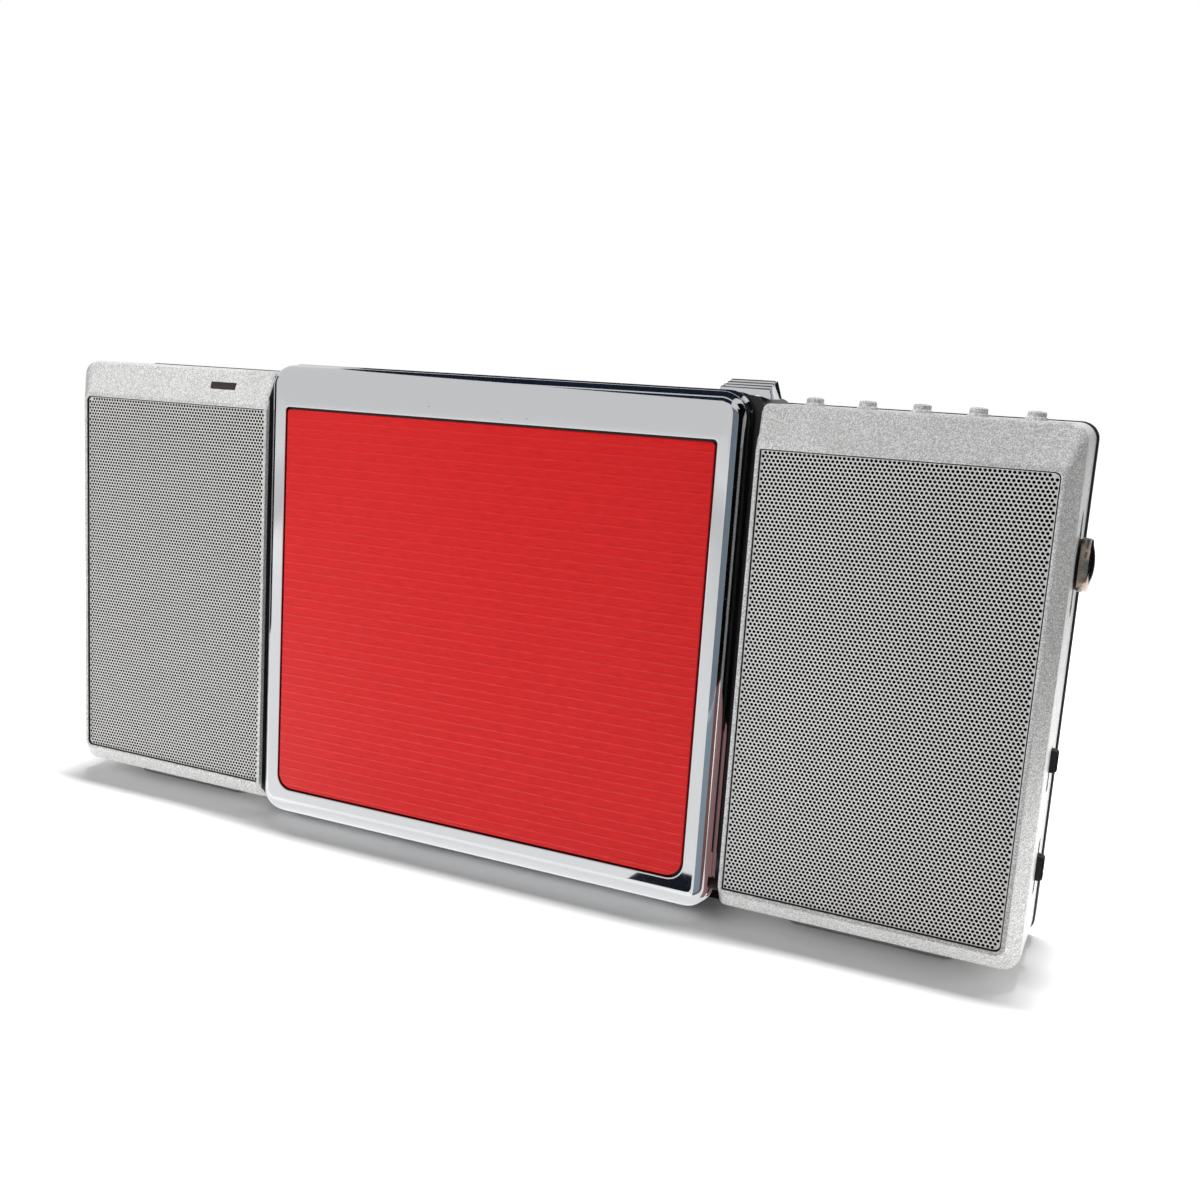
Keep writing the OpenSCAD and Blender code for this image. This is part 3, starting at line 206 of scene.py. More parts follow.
def brushed(name, low, high, rough, along, line_mm=0.12):
    """A metal with fine marks of drawing, turning or rolling along one axis, line_mm apart."""
    mat, tree, place = begin(name)
    run = add(tree, "Mapping",
              {"Vector": place, "Scale": {"x": (0.03, 1, 1), "y": (1, 0.03, 1), "z": (1, 1, 0.03)}[along]})
    line = add(tree, "TexNoise", {"Vector": run, "Scale": per(line_mm), "Detail": 3.0})
    base = add(tree, "ValToRGB", {0: line}, [(0.25, low), (0.75, high)])
    dull = add(tree, "MapRange", {"Value": line, **MIDDLE, "To Min": rough - 0.08, "To Max": rough + 0.08})
    bump = add(tree, "Bump", {"Height": line, "Distance": 0.004 * MM, "Strength": 0.5})
    add(tree, "OutputMaterial", {"Surface": add(tree, "BsdfPrincipled", {
        "Base Color": base, "Roughness": dull, "Metallic": 1.0, "Normal": bump})})
    return mat


def circuit_board():
    """Glass-epoxy board under green solder mask: copper tracks about 0.3 mm wide show as paler raised lines."""
    mat, tree, place = begin("solder_masked_glass_epoxy")
    cells = add(tree, "TexVoronoi", {"Vector": place, "Scale": per(2.4)}, distance="MANHATTAN")
    track = add(tree, "MapRange", {"Value": cells, "From Min": 0.26, "From Max": 0.3, **FALLING})
    base = add(tree, "ValToRGB", {0: track}, [(0.0, "#144B33"), (1.0, "#2B7350")])
    bump = add(tree, "Bump", {"Height": track, "Distance": 0.03 * MM, "Strength": 0.7})
    add(tree, "OutputMaterial", {"Surface": add(tree, "BsdfPrincipled", {
        "Base Color": base, "Roughness": 0.32, "Normal": bump})})
    return mat


def woven_cloth():
    """Black polyester voile, plain weave: threads 0.25 mm apart, over and under."""
    mat, tree, place = begin("black_polyester_voile_plain_weave")
    per_thread = per(2 * 0.25) * math.pi / 10  # a wave is pi / 10 of the pattern's unit, and holds two threads
    warp = add(tree, "TexWave", {"Vector": place, "Scale": per_thread}, bands_direction="X")
    weft = add(tree, "TexWave", {"Vector": place, "Scale": per_thread}, bands_direction="Z")
    weave = add(tree, "Math", {0: warp.outputs[1], 1: weft.outputs[1]}, operation="MAXIMUM")
    base = add(tree, "ValToRGB", {0: weave}, [(0.0, "#040405"), (1.0, "#101012")])
    bump = add(tree, "Bump", {"Height": weave, "Distance": 0.05 * MM, "Strength": 0.6})
    add(tree, "OutputMaterial", {"Surface": add(tree, "BsdfPrincipled", {
        "Base Color": base, "Roughness": 0.9, "Specular IOR Level": 0.2, "Sheen Weight": 0.05,
        "Normal": bump})})
    return mat


def cone_paper():
    """Pressed paper pulp, dyed black: felted fibres about 0.6 mm long and a dry, matt face."""
    mat, tree, place = begin("pressed_black_paper_pulp")
    run = add(tree, "Mapping", {"Vector": place, "Scale": (1, 1, 0.3)})
    fibre = add(tree, "TexNoise", {"Vector": run, "Scale": per(0.6), "Detail": 5.0})
    base = add(tree, "ValToRGB", {0: fibre}, [(0.3, "#151413"), (0.75, "#2A2826")])
    bump = add(tree, "Bump", {"Height": fibre, "Distance": 0.05 * MM, "Strength": 0.7})
    add(tree, "OutputMaterial", {"Surface": add(tree, "BsdfPrincipled", {
        "Base Color": base, "Roughness": 0.85, "Normal": bump})})
    return mat


def clear_part(name, base, rough, through, ior=1.49):
    """A moulded clear part, tinted in its mass, with a polished face and faint flow marks."""
    mat, tree, place = begin(name)
    flow = add(tree, "TexNoise", {"Vector": place, "Scale": per(1.5)})
    dull = add(tree, "MapRange", {"Value": flow, **MIDDLE, "To Min": rough, "To Max": rough + 0.08})
    bump = add(tree, "Bump", {"Height": flow, "Distance": 0.004 * MM, "Strength": 0.4})
    add(tree, "OutputMaterial", {"Surface": add(tree, "BsdfPrincipled", {
        "Base Color": base, "Roughness": dull, "Transmission Weight": through, "IOR": ior, "Normal": bump})})
    return mat


def frame_mouldings():
    """One ABS moulding with silver sprayed only on its outer faces, between the gaps beside the lid; elsewhere
    it is black, a painted shade so that those gaps read dark."""
    mat, tree, place = begin("silver_sprayed_abs_black_as_gap_shade")
    at = add(tree, "SeparateXYZ", {0: place})
    top = add(tree, "Math", {0: at.outputs["Z"], 1: 76.05 * MM}, operation="GREATER_THAN")
    low = add(tree, "Math", {0: at.outputs["Z"], 1: 2.15 * MM}, operation="LESS_THAN")
    outer = add(tree, "Math", {0: top, 1: low}, operation="MAXIMUM")
    between = add(tree, "Math", {0: at.outputs["X"], 1: 0.0, 2: 33 * MM}, operation="COMPARE")
    sprayed = add(tree, "Math", {0: outer, 1: between}, operation="MULTIPLY")
    flake = add(tree, "TexVoronoi", {"Vector": place, "Scale": per(FLAKE)})
    one = add(tree, "SeparateColor", {0: flake.outputs["Color"]})
    silver = add(tree, "ValToRGB", {0: one}, SILVER_STOPS)
    # black as painted shade, for the frame seen in the gaps beside the lid
    base = add(tree, "Mix", {0: sprayed, 6: "#0D0D10", 7: silver}, data_type="RGBA")
    metal = add(tree, "Math", {0: sprayed, 1: FLAKE_METAL}, operation="MULTIPLY")
    peel = add(tree, "TexNoise", {"Vector": place, "Scale": per(0.35), "Detail": 3.0})
    bump = add(tree, "Bump", {"Height": peel, "Distance": 0.012 * MM, "Strength": 0.5})
    add(tree, "OutputMaterial", {"Surface": add(tree, "BsdfPrincipled", {
        "Base Color": base.outputs[2], "Roughness": 0.42, "Metallic": metal, "Normal": bump})})
    return mat


SILVER = silver_paint()
CHROME = chrome_plate()
RED = red_panel_lacquer()
GRILLE = grille_paint()
# Near black on the walls of the punched holes, a painted shade so that the holes read dark: dull
HOLE_SHADE = moulded("painted_shade_in_punched_holes", "#0C0C0D", "#161617", 0.75, 0.2)
# Spark-textured ABS of the rear: near black, satin
BLACK_ABS = moulded("black_abs_spark_textured", "#141416", "#1E1E21", 0.48)
# Plain grey ABS of the inner mouldings
GREY_ABS = moulded("dark_grey_abs_moulded", "#333437", "#404144", 0.52)
# Polished mould, so a glossy black with a clear reflection
GLOSS_BLACK = moulded("gloss_black_abs_polished_mould", "#070708", "#0B0B0D", 0.12, 3.0, 0.003)
# Soft black rubber, dry and dull
RUBBER = moulded("black_rubber_moulded", "#111112", "#1A1A1B", 0.82, 0.5, 0.03)
# Pale grey rubber of the feet, which hardly shows in the shadow
FOOT_RUBBER = moulded("grey_rubber_moulded", "#8A8B8D", "#97989A", 0.82, 0.5, 0.03)
# Black epoxy of chips and switches
EPOXY = moulded("black_epoxy_moulded", "#171718", "#202021", 0.6, 0.25)
# Rolled stainless sheet, zinc-plated steel and drawn rod
STEEL = brushed("rolled_stainless_sheet", "#A3A5A8", "#B8BABD", 0.34, "z")
ZINC = brushed("zinc_plated_steel", "#999CA0", "#AEB1B4", 0.4, "x", 0.3)
ROD = brushed("ground_steel_rod", "#B8BABD", "#CDCFD2", 0.18, "x", 0.06)
# Pins blackened in oil, dull
DARK_PIN = moulded("oil_blackened_steel_pin", "#0E0E10", "#161618", 0.6, 0.2)
# Turned and clear-coated metal rim of the shuttle knob, a little warm
KNOB_METAL = brushed("turned_metal_warm_clear_coat", "#93887D", "#A99E92", 0.26, "y", 0.08)
# Pressed steel under a thin black coat, an even satin
COATED_STEEL = moulded("black_coated_pressed_steel", "#19191B", "#222224", 0.45, 0.6)
BOARD = circuit_board()
CLOTH = woven_cloth()
PAPER = cone_paper()
# Smooth grey sleeve, with a wide soft highlight
CELL = moulded("grey_shrink_sleeve_on_cell", "#787D85", "#858A92", 0.35, 4.0, 0.01)
# Clear parts: a red lamp, its smoked window and a bluish lens
LAMP_BODY = clear_part("red_epoxy_lamp_body", "#B01A14", 0.12, 0.3, 1.5)
LAMP_WINDOW = clear_part("smoked_red_acrylic", "#2A0C0A", 0.08, 0.2)
LENS_GLASS = clear_part("coated_lens_glass", "#8FA6D8", 0.02, 0.8, 1.52)
FRAME_ABS = frame_mouldings()

# ---- shapes


def outline(box, radii, steps=8):
    """A rectangle with quarter-circle corners: each corner's points are its centre plus its radius times the
    cosine and sine of an angle that runs through a right angle. The box is low a, high a, low b, high b, and
    the corners go low-low, high-low, high-high, low-high."""
    a0, a1, b0, b1 = box
    r = np.broadcast_to(np.asarray(radii, float), 4)
    mid_a = np.array([a0, a1, a1, a0]) + r * [1, -1, -1, 1]
    mid_b = np.array([b0, b0, b1, b1]) + r * [1, 1, -1, -1]
    turn = (np.array([2, 3, 0, 1])[:, None] + np.linspace(0, 1, steps + 1)) * math.pi / 2
    return np.stack([(mid_a[:, None] + r[:, None] * np.cos(turn)).ravel(),
                     (mid_b[:, None] + r[:, None] * np.sin(turn)).ravel()], -1)


def grown(box, by):
    """The box with each side moved outwards."""
    return (box[0] - by, box[1] + by, box[2] - by, box[3] + by)


def about(mid, a, b):
    """A box from its middle and half its width and height."""
    return (mid[0] - a, mid[0] + a, mid[1] - b, mid[1] + b)


def stacked(levels, axis):
    """Outlines laid along an axis: each level is an outline and its height there, and the result is an array of
    levels, points and X, Y, Z."""
    flat = np.array([level[0] for level in levels], float)
    height = np.broadcast_to(np.array([level[1] for level in levels], float)[:, None], flat.shape[:2])
    a, b = flat[..., 0], flat[..., 1]
    return np.stack({"x": (height, a, b), "y": (a, height, b), "z": (a, b, height)}[axis], -1)


def turned(profile, centre, axis, n=40):
    """A profile of radius and height turned about an axis through a centre: each level is a circle, the centre
    plus the radius times the cosine and sine of a full turn."""
    angle = np.linspace(0, 2 * math.pi, n, endpoint=False)
    ring = np.stack([np.cos(angle), np.sin(angle)], -1)
    return stacked([(np.asarray(centre) + r * ring, h) for r, h in profile], axis)


def arc(mid, r, start, stop, steps=6):
    """Points of a circle's arc, in degrees."""
    t = np.radians(np.linspace(start, stop, steps + 1))
    return np.stack([mid[0] + r * np.cos(t), mid[1] + r * np.sin(t)], -1)


def skin(levels, ring=False):
    """The surface through levels of equally many points, as points and groups of faces: a quad joins each pair
    of neighbours to the same pair on the next level. A ring joins its last level to its first; otherwise each
    end closes in a fan round its middle, and the groups are quads, first fan, last fan."""
    m, n, _ = levels.shape
    k, after = np.arange(n), (np.arange(n) + 1) % n
    rows = np.arange(m if ring else m - 1)
    low, high = rows[:, None] * n, ((rows + 1) % m)[:, None] * n
    quads = np.stack([low + k, low + after, high + after, high + k], -1).reshape(-1, 4)
    points = levels.reshape(-1, 3)
    if ring:
        return points, [quads]
    last = (m - 1) * n
    return (np.vstack([points, levels[0].mean(0), levels[-1].mean(0)]),
            [quads, np.stack([np.full(n, m * n), after, k], -1),
             np.stack([np.full(n, m * n + 1), last + k, last + after], -1)])


def tube(bore, r, span, centre):
    """A tube along X, as the ring of its four edges."""
    edges = [(bore, span[0]), (r, span[0]), (r, span[1]), (bore, span[1])]
    return skin(turned(edges, centre, "x", 32), ring=True)


def block(x, y, z, r=0.15, axis="y", edge=0.08):
    """A box with rounded corners across one axis and a small rounding at both ends of that axis."""
    spans = {"x": (y, z, x), "y": (x, z, y), "z": (x, y, z)}[axis]
    box, (h0, h1) = (*spans[0], *spans[1]), spans[2]
    inner, outer = outline(grown(box, -edge), max(r - edge, 0.01), 3), outline(box, r, 3)
    return skin(stacked([(inner, h0), (outer, h0 + edge), (outer, h1 - edge), (inner, h1)], axis))


def mirrored(part):
    """The part on the other side of the player, its faces turned round to match."""
    return part[0] * [-1, 1, 1], [group[:, ::-1] for group in part[1]]


def mesh_of(name, parts, closed=True):
    """A mesh from parts, each its points, its groups of faces and its material. Doubles are merged, and the
    faces of closed parts are turned outwards; an open sheet keeps them as they were made."""
    mesh = bpy.data.meshes.new(name)
    mats = list(dict.fromkeys(mat for _, _, mat in parts))
    faces, index, start = [], [], 0
    for points, groups, mat in parts:
        for group in groups:
            faces += (group + start).tolist()
            index.append(np.full(len(group), mats.index(mat)))
        start += len(points)
    mesh.from_pydata((np.vstack([points for points, _, _ in parts]) * MM).tolist(), [], faces)
    for mat in mats:
        mesh.materials.append(mat)
    mesh.polygons.foreach_set("material_index", np.concatenate(index))
    work = bmesh.new()
    work.from_mesh(mesh)
    bmesh.ops.remove_doubles(work, verts=work.verts, dist=1e-7)
    if closed:
        bmesh.ops.recalc_face_normals(work, faces=work.faces)
    work.to_mesh(mesh)
    work.free()
    return mesh


def piece(name, body, parts, nodes=(), cuts=(), sharp=32, closed=True):
    """One piece: its parts in one mesh, less the cuts, smooth but for edges over the sharp angle, riding on a
    body and standing for CAD nodes."""
    made = placed(name, mesh_of(name, parts, closed))
    if cuts:
        tool = placed("cut", mesh_of("cut", [(*cut, parts[0][2]) for cut in cuts]))
        step = made.modifiers.new("cut", "BOOLEAN")
        step.operation, step.solver, step.object = "DIFFERENCE", "EXACT", tool
        view = bpy.context.evaluated_depsgraph_get()
        left = bpy.data.meshes.new_from_object(made.evaluated_get(view), depsgraph=view)
        made.modifiers.clear()
        made.data = left
        bpy.data.objects.remove(tool)
    made.data.polygons.foreach_set("use_smooth", np.ones(len(made.data.polygons), bool))
    made.data.set_sharp_from_angle(angle=math.radians(sharp))
    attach(made, body)
    if nodes:
        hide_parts(*nodes)
    return made


# ---- sizes, as in the CAD model but for the grilles' tighter corners

Y_FRONT, Y_BACK, COVER_Y = -12.0, 12.0, 7.0
LID = (-39.8, 39.8, 1.3, 76.45)
LID_CORNER, LID_FILLET, LID_FILLET_LOW = 3.8, 2.0, 3.4
LID_WALL, LID_BACK, LID_IN = 1.5, -7.7, -10.5
PANEL = (-36.0, 36.0, 6.4, 69.45)
PANEL_RADII, PANEL_Y, SEAM = (2.5, 2.5, 0.6, 0.6), (-11.95, -11.1), 0.3
RIB_PITCH, RIB_H, RIB_HALF = 1.45, 0.032, 0.14
HINGE = (-8.5, 5.3)
COVER = (-84.0, 84.0, 1.9, 75.6)
COVER_CORNER = 2.4
WING_BACK = (41.1, 83.7, 2.05, 75.45)
WING_FRONT = (41.1, 83.1, 2.35, 75.15)
WING_RADII = (1.0, 2.4, 2.4, 1.0)
RIM = (41.4, 81.15, 5.0, 69.55)
RIM_RADII = (1.0, 1.5, 1.5, 1.0)
INSIDE = (42.3, 82.5, 3.4, 74.1)
INSIDE_RADII = (0.5, 0.9, 0.9, 0.5)
MESH = (42.0, 80.55, 5.6, 68.95)
MESH_RADII = (0.2, 0.85, 0.85, 0.2)
RIM_Y, BEVEL_Y, MESH_Y, BAFFLE_Y = -10.5, -8.3, (-10.1, -9.6), (-9.3, -8.1)
SPEAKER, CONE_HOLE = (62.4, 37.275), 15.95
SEAM_HALF = 0.02  # half the seam between the wings and the rear cover
BUTTON_X, BUTTON_Y = [47.2, 54.5, 61.8, 69.1, 76.4], -3.1
BUTTON_HOLE = [(1.57, 72.5), (1.57, 75.25), (1.66, 75.45), (1.66, 78.0)]  # radius and height
SIDE_Y, THROUGH_X = -0.3, (80.5, 86.0)  # middle of the sides' controls, and the reach of a cut for one
SHUTTLE_Z, HOLD_Z, TONE_Z = 56.9, 28.7, 14.8
# width, Z, length and corner of each slot
SLOTS = ((3.0, SHUTTLE_Z, 14.2, 1.49), (2.4, HOLD_Z, 6.1, 0.3), (2.4, TONE_Z, 7.8, 0.3))
SOCKET_R, SOCKET_Z = 3.02, (56.6, 15.9)
LAMP_HOLE = (-53.95, -48.65, 71.75, 72.95)
LEVER_PIN = (-1.8, 72.6)
SCREW_HOLE = [(0.82, 6.0), (0.82, 11.2), (1.62, 11.2), (1.62, 11.85), (1.75, 12.0), (1.75, 13.0)]
DOOR = (-71.7, -53.7, 4.5, 73.0)
FEET = ((-62.4, 24), (0, 30), (62.4, 24))  # middle and length along X

# ---- lid


def lid():
    """The plated lid frame: outlines from the panel's pocket over its edge, the flat border, the fillet, the
    side, a slight flare at the back edge, and the inside. At a depth behind the front, the fillet's inset is
    what a circle leaves there, with a larger circle along the lower edge, and the corners open from nearly
    sharp to their full radius."""
    nearly_sharp, edge = 0.8, 0.1
    # points of each edge: outwards, and behind the front or ahead of the back
    pocket_edge = [(0, 0.2), (0.06, 0.06), (0.2, 0), (0.24, 0)]
    flared_edge = [(0, 0.8), (0.06, 0.65), (0.2, 0.5), (0.25, 0.35), (0.25, 0.15), (0.1, 0)]
    pocket = lambda by: outline(grown(PANEL, SEAM + by), np.array(PANEL_RADII) + by)
    side = lambda inset: outline(grown(LID, -inset), LID_CORNER - inset)
    flare = lambda by: outline((LID[0] - by, LID[1] + by, LID[2], LID[3] + by), LID_CORNER)

    def fillet(depth):
        inset, low = (r - math.sqrt(r * r - max(r - depth, 0) ** 2) for r in (LID_FILLET, LID_FILLET_LOW))
        box = (LID[0] + inset, LID[1] - inset, LID[2] + low, LID[3] - inset)
        open_ = 1 - np.array([low / LID_FILLET_LOW] * 2 + [inset / LID_FILLET] * 2)
        return outline(box, nearly_sharp + (LID_CORNER - nearly_sharp) * open_), Y_FRONT + depth

    levels = [(pocket(0), PANEL_Y[1])] + [(pocket(by), Y_FRONT + depth) for by, depth in pocket_edge]
    levels += [fillet(LID_FILLET_LOW * (1 - math.cos(a))) for a in np.radians(np.linspace(0, 90, 19))]
    levels += [(flare(by), LID_BACK - ahead) for by, ahead in flared_edge]
    levels += [(side(LID_WALL - edge), LID_BACK), (side(LID_WALL), LID_BACK - edge), (side(LID_WALL), LID_IN)]
    points, (quads, floor, inside) = skin(stacked(levels, "y"))
    n = len(levels[0][0])
    lug = tube(0.85, 2.0, (37.1, 39.5), HINGE)
    # the pocket's floor and walls stay bare, and read as a dark seam round the panel
    piece("lid_frame_plated", "lid",
          [(points, [quads[n:], inside], CHROME), (points, [quads[:n], floor], BLACK_ABS), (*lug, CHROME),
           (*mirrored(lug), CHROME)], ["lid_frame"])


def lid_panel():
    """The red panel: rows up the panel, each a flat strip whose half width follows the corner circles. Its
    front stands out by a rib, a bell curve of RIB_H and RIB_HALF, RIB_PITCH from the next, and falls back
    towards the lower and upper edge by the square of the way there."""
    x1, z0, z1 = PANEL[1], PANEL[2], PANEL[3]
    count, fade, fall, edge, bevel, seat = 1741, 0.25, 0.1, 0.12, 0.04, 0.05
    z = np.linspace(z0, z1, count)
    reach = np.full(count, x1)
    for away, r in ((z - z0, PANEL_RADII[0]), (z1 - z, PANEL_RADII[3])):
        inside = np.clip(r - away, 0, r)
        reach = np.minimum(reach, x1 - r + np.sqrt(r * r - inside ** 2))
    rib = np.exp(-((np.mod(z - z0, RIB_PITCH) - RIB_PITCH / 2) / RIB_HALF) ** 2)
    ends = np.clip(np.minimum(z - z0, z1 - z) / fade, 0, 1)
    front, back = PANEL_Y[0] - RIB_H * rib * ends + fall * (1 - ends) ** 2, np.full(count, PANEL_Y[1] - seat)
    half = [(reach, back), (reach, front + edge), (reach - bevel, front + bevel), (reach - edge, front)]
    across = [(-x, y) for x, y in half] + half[::-1]
    rows = np.stack([np.stack([x, y, z], -1) for x, y in across], 1)
    made = piece("lid_panel_ribbed", "lid", [(*skin(rows), RED)], ["lid_panel"], sharp=40)
    made.visible_diffuse = False  # its red stays out of the soft shadow on the paper


# ---- wings


def wing_levels():
    """The right wing's shell as one ring of outlines: the grille's pocket, the rim, the sloped border, a narrow
    chamfer, the side, which widens to the back, the back edge, the inside and the speaker's hole. Slope and
    side run in a straight line between two outlines, by a share of the way."""
    gap = 0.05
    pocket = lambda by: outline(grown(MESH, gap + by), np.array(MESH_RADII) + by)
    rim, front, back = outline(RIM, RIM_RADII), outline(WING_FRONT, WING_RADII), outline(WING_BACK, WING_RADII)
    slope = lambda s: (front + (rim - front) * s, BEVEL_Y + (RIM_Y - BEVEL_Y) * s)
    side = lambda s: (front + (back - front) * s, BEVEL_Y + (COVER_Y - BEVEL_Y) * s)
    trimmed = lambda by: outline(grown(WING_BACK, -by), np.array(WING_RADII) - by)
    inner, seat = outline(INSIDE, INSIDE_RADII), COVER_Y - SEAM_HALF
    hole = outline(about(SPEAKER, CONE_HOLE, CONE_HOLE), CONE_HOLE)
    levels = [(pocket(0), BAFFLE_Y[0]), (pocket(0), RIM_Y + 0.12), (pocket(0.03), RIM_Y + 0.03),
              (pocket(0.12), RIM_Y), (slope(1.03)[0], RIM_Y), (rim, RIM_Y + 0.012)]
    levels += [slope(s) for s in (0.96, 0.7, 0.1, 0.065, 0.055)]
    levels += [side(s) for s in (0.036, 0.042, 0.07, 0.985)]
    levels += [(trimmed(0.05), COVER_Y - 0.08), (trimmed(0.2), seat), (inner, seat), (inner, BAFFLE_Y[1]),
               (hole, BAFFLE_Y[1]), (hole, BAFFLE_Y[0])]
    return stacked(levels, "y")


def wings():
    """Both shells; the right one has holes for the buttons and slots for the slides, the left one for the
    sockets and the charge lamp."""
    levels, mask_depth = wing_levels(), 0.6
    points, (quads,) = skin(levels, ring=True)
    # black as painted shade: the sides next to the lid, in the gap beside it, and the walls of the grille's
    # pocket, a dark seam round it
    middle, around = points[quads].mean(1), levels.shape[1]
    black_gap_shade_and_seam = (middle[:, 0] < RIM[0]) & (middle[:, 1] > RIM_Y + mask_depth) | (np.arange(len(quads)) < around)
    shell = [(points, [quads[~black_gap_shade_and_seam]], SILVER), (points, [quads[black_gap_shade_and_seam]], BLACK_ABS)]
    cuts = [skin(turned(BUTTON_HOLE, (x, BUTTON_Y), "z", 32)) for x in BUTTON_X]
    for width, z, length, corner in SLOTS:
        slot = outline(about((SIDE_Y, z), width / 2, length / 2), corner)
        cuts.append(skin(stacked([(slot, x) for x in THROUGH_X], "x")))
    piece("right_wing_painted", "player", shell, ["right_shell"], cuts)
    cuts = [mirrored(skin(turned([(SOCKET_R, x) for x in THROUGH_X], (SIDE_Y, z), "x"))) for z in SOCKET_Z]
    window = outline(LAMP_HOLE, 0.15, 3)
    cuts.append(skin(stacked([(window, -13.0), (window, -7.5)], "y")))
    piece("left_wing_painted", "player",
          [(*mirrored((points, groups)), mat) for points, groups, mat in shell], ["left_shell"], cuts)


def grille_sheet():
    """A punched sheet: hexagonal cells in staggered rows, each with a six-sided hole about its middle. Cell
    corners at the sheet's sides are pulled onto them, and those past a rounded corner onto its circle; a cell
    whose hole would reach over the edge stays whole. The pitch is 0.6 mm, the holes 0.47 mm wide."""
    inset, margin, near_end, deep = 0.1, 0.3, 0.25, 0.3
    x0, x1, z0, z1 = grown(MESH, -inset)
    across, r_hole, r_edge = 64, 0.235, MESH_RADII[1] - inset
    pitch = (x1 - x0) / across
    near_side = pitch * 0.55
    up = int(round((z1 - z0 - 2 * margin) / (pitch * math.sqrt(3) / 2)))
    rise = (z1 - z0 - 2 * margin) / up
    column, row = (v.ravel() for v in np.meshgrid(np.arange(across), np.arange(up + 1)))
    keep = (row % 2 == 0) | (column < across - 1)
    column, row = column[keep], row[keep]
    mid = np.stack([x0 + (column + 0.5 + 0.5 * (row % 2)) * pitch, z0 + margin + row * rise], -1)
    turn = np.radians(30 + 60 * np.arange(6))
    ring = np.stack([np.cos(turn), np.sin(turn)], -1)
    cell = mid[:, None] + ring * [pitch / math.sqrt(3), rise * 2 / 3]
    cx, cz = cell[..., 0], cell[..., 1]
    cx = np.where(cx < x0 + near_side, x0, np.where(cx > x1 - near_side, x1, cx))
    cz = np.where(cz < z0 + near_end, z0, np.where(cz > z1 - near_end, z1, cz))
    whole = np.zeros(len(mid), bool)
    for z_mid, sign in ((z0 + r_edge, -1), (z1 - r_edge, 1)):
        far = np.stack([cx - (x1 - r_edge), cz - z_mid], -1)
        past = (far[..., 0] > 0) & (far[..., 1] * sign > 0)
        length = np.maximum(np.hypot(far[..., 0], far[..., 1]), 1e-6)
        pull = np.where(past & (length > r_edge), r_edge / length, 1.0)
        cx, cz = x1 - r_edge + far[..., 0] * pull, z_mid + far[..., 1] * pull
        off = mid - [x1 - r_edge, z_mid]
        whole |= (off[:, 0] > 0) & (off[:, 1] * sign > 0) & (np.hypot(off[:, 0], off[:, 1]) > r_edge - margin)
    hx, hz = np.moveaxis(mid[:, None] + r_hole * ring, -1, 0)
    flat = lambda x, z, y: np.stack([x, np.full_like(x, y), z], -1).reshape(-1, 3)
    points = np.vstack([flat(cx, cz, MESH_Y[0]), flat(hx, hz, MESH_Y[0]), flat(hx, hz, MESH_Y[0] + deep)])
    n, k, after = len(mid), np.arange(6), (np.arange(6) + 1) % 6
    corner = np.arange(n * 6).reshape(n, 6)
    outer = corner[~whole]
    mouth, end = outer + n * 6, outer + n * 12
    band = lambda a, b: np.stack([a[:, k], a[:, after], b[:, after], b[:, k]], -1).reshape(-1, 4)
    edge = outline((x0, x1, z0, z1), (inset, r_edge, r_edge, inset))
    rim, groups = skin(stacked([(edge, MESH_Y[0]), (edge, MESH_Y[1] - 0.02)], "y"))
    # the holes' walls take the painted shade
    return [(points, [band(outer, mouth), corner[whole]], GRILLE), (points, [band(mouth, end)], HOLE_SHADE),
            (rim, groups[:1], GRILLE)]


def grilles():
    """Both punched sheets, and the dust cloth stretched behind each: a grid whose depth ripples by the product
    of two sines."""
    sheet, ripple, behind = grille_sheet(), 0.02, 0.06
    width, height, across, up = MESH[1] - MESH[0], MESH[3] - MESH[2], 40, 64
    a, b = np.meshgrid(np.linspace(MESH[0], MESH[1], across), np.linspace(MESH[2], MESH[3], up))
    dip = ripple * np.sin(a * 2.1) * np.sin(b * 1.7)
    k = (np.arange(up - 1)[:, None] * across + np.arange(across - 1)).ravel()
    voile = (np.stack([a, MESH_Y[1] + behind + dip, b], -1).reshape(-1, 3),
             [np.stack([k, k + 1, k + across + 1, k + across], -1)])
    for side in ("right", "left"):
        turn = mirrored if side == "left" else lambda part: part
        parts = [(*turn((points, groups)), mat) for points, groups, mat in sheet]
        piece(side + "_grille_punched", "player", parts, [side + "_grille"], closed=False)
        cloth = piece(side + "_dust_cloth", "player", [(*turn(voile), CLOTH)],
                      [side + "_grille_cloth"], sharp=60, closed=False)


# ---- controls


def buttons():
    """Five painted buttons: a turned profile of radius and height, with a foot, a flange, a short barrel, a
    step and a rounded edge under a shallow dome, a parabola."""
    foot = [(0.9, 72.9), (0.9, 73.4)]
    flange = [(2.08, 73.4), (2.1, 73.45), (2.1, 73.93), (2.08, 73.98)]
    barrel = [(1.47, 73.98), (1.45, 74.05), (1.45, 75.5), (1.4, 75.58)]
    step = [(1.24, 75.62), (1.2, 75.68)]
    edge = arc((0.95, 76.1), 0.25, 0, 75, 5).tolist()
    dome = [(r, 76.45 - 0.1 * r ** 2) for r in (0.8, 0.5, 0.25, 0.05)]
    profile = foot + flange + barrel + step + edge + dome
    for i, x in enumerate(BUTTON_X):
        piece(f"button_{i + 1}_painted", f"button_{i + 1}",
              [(*skin(turned(profile, (x, BUTTON_Y), "z", 32)), SILVER)], [f"top_button_{i + 1}"])


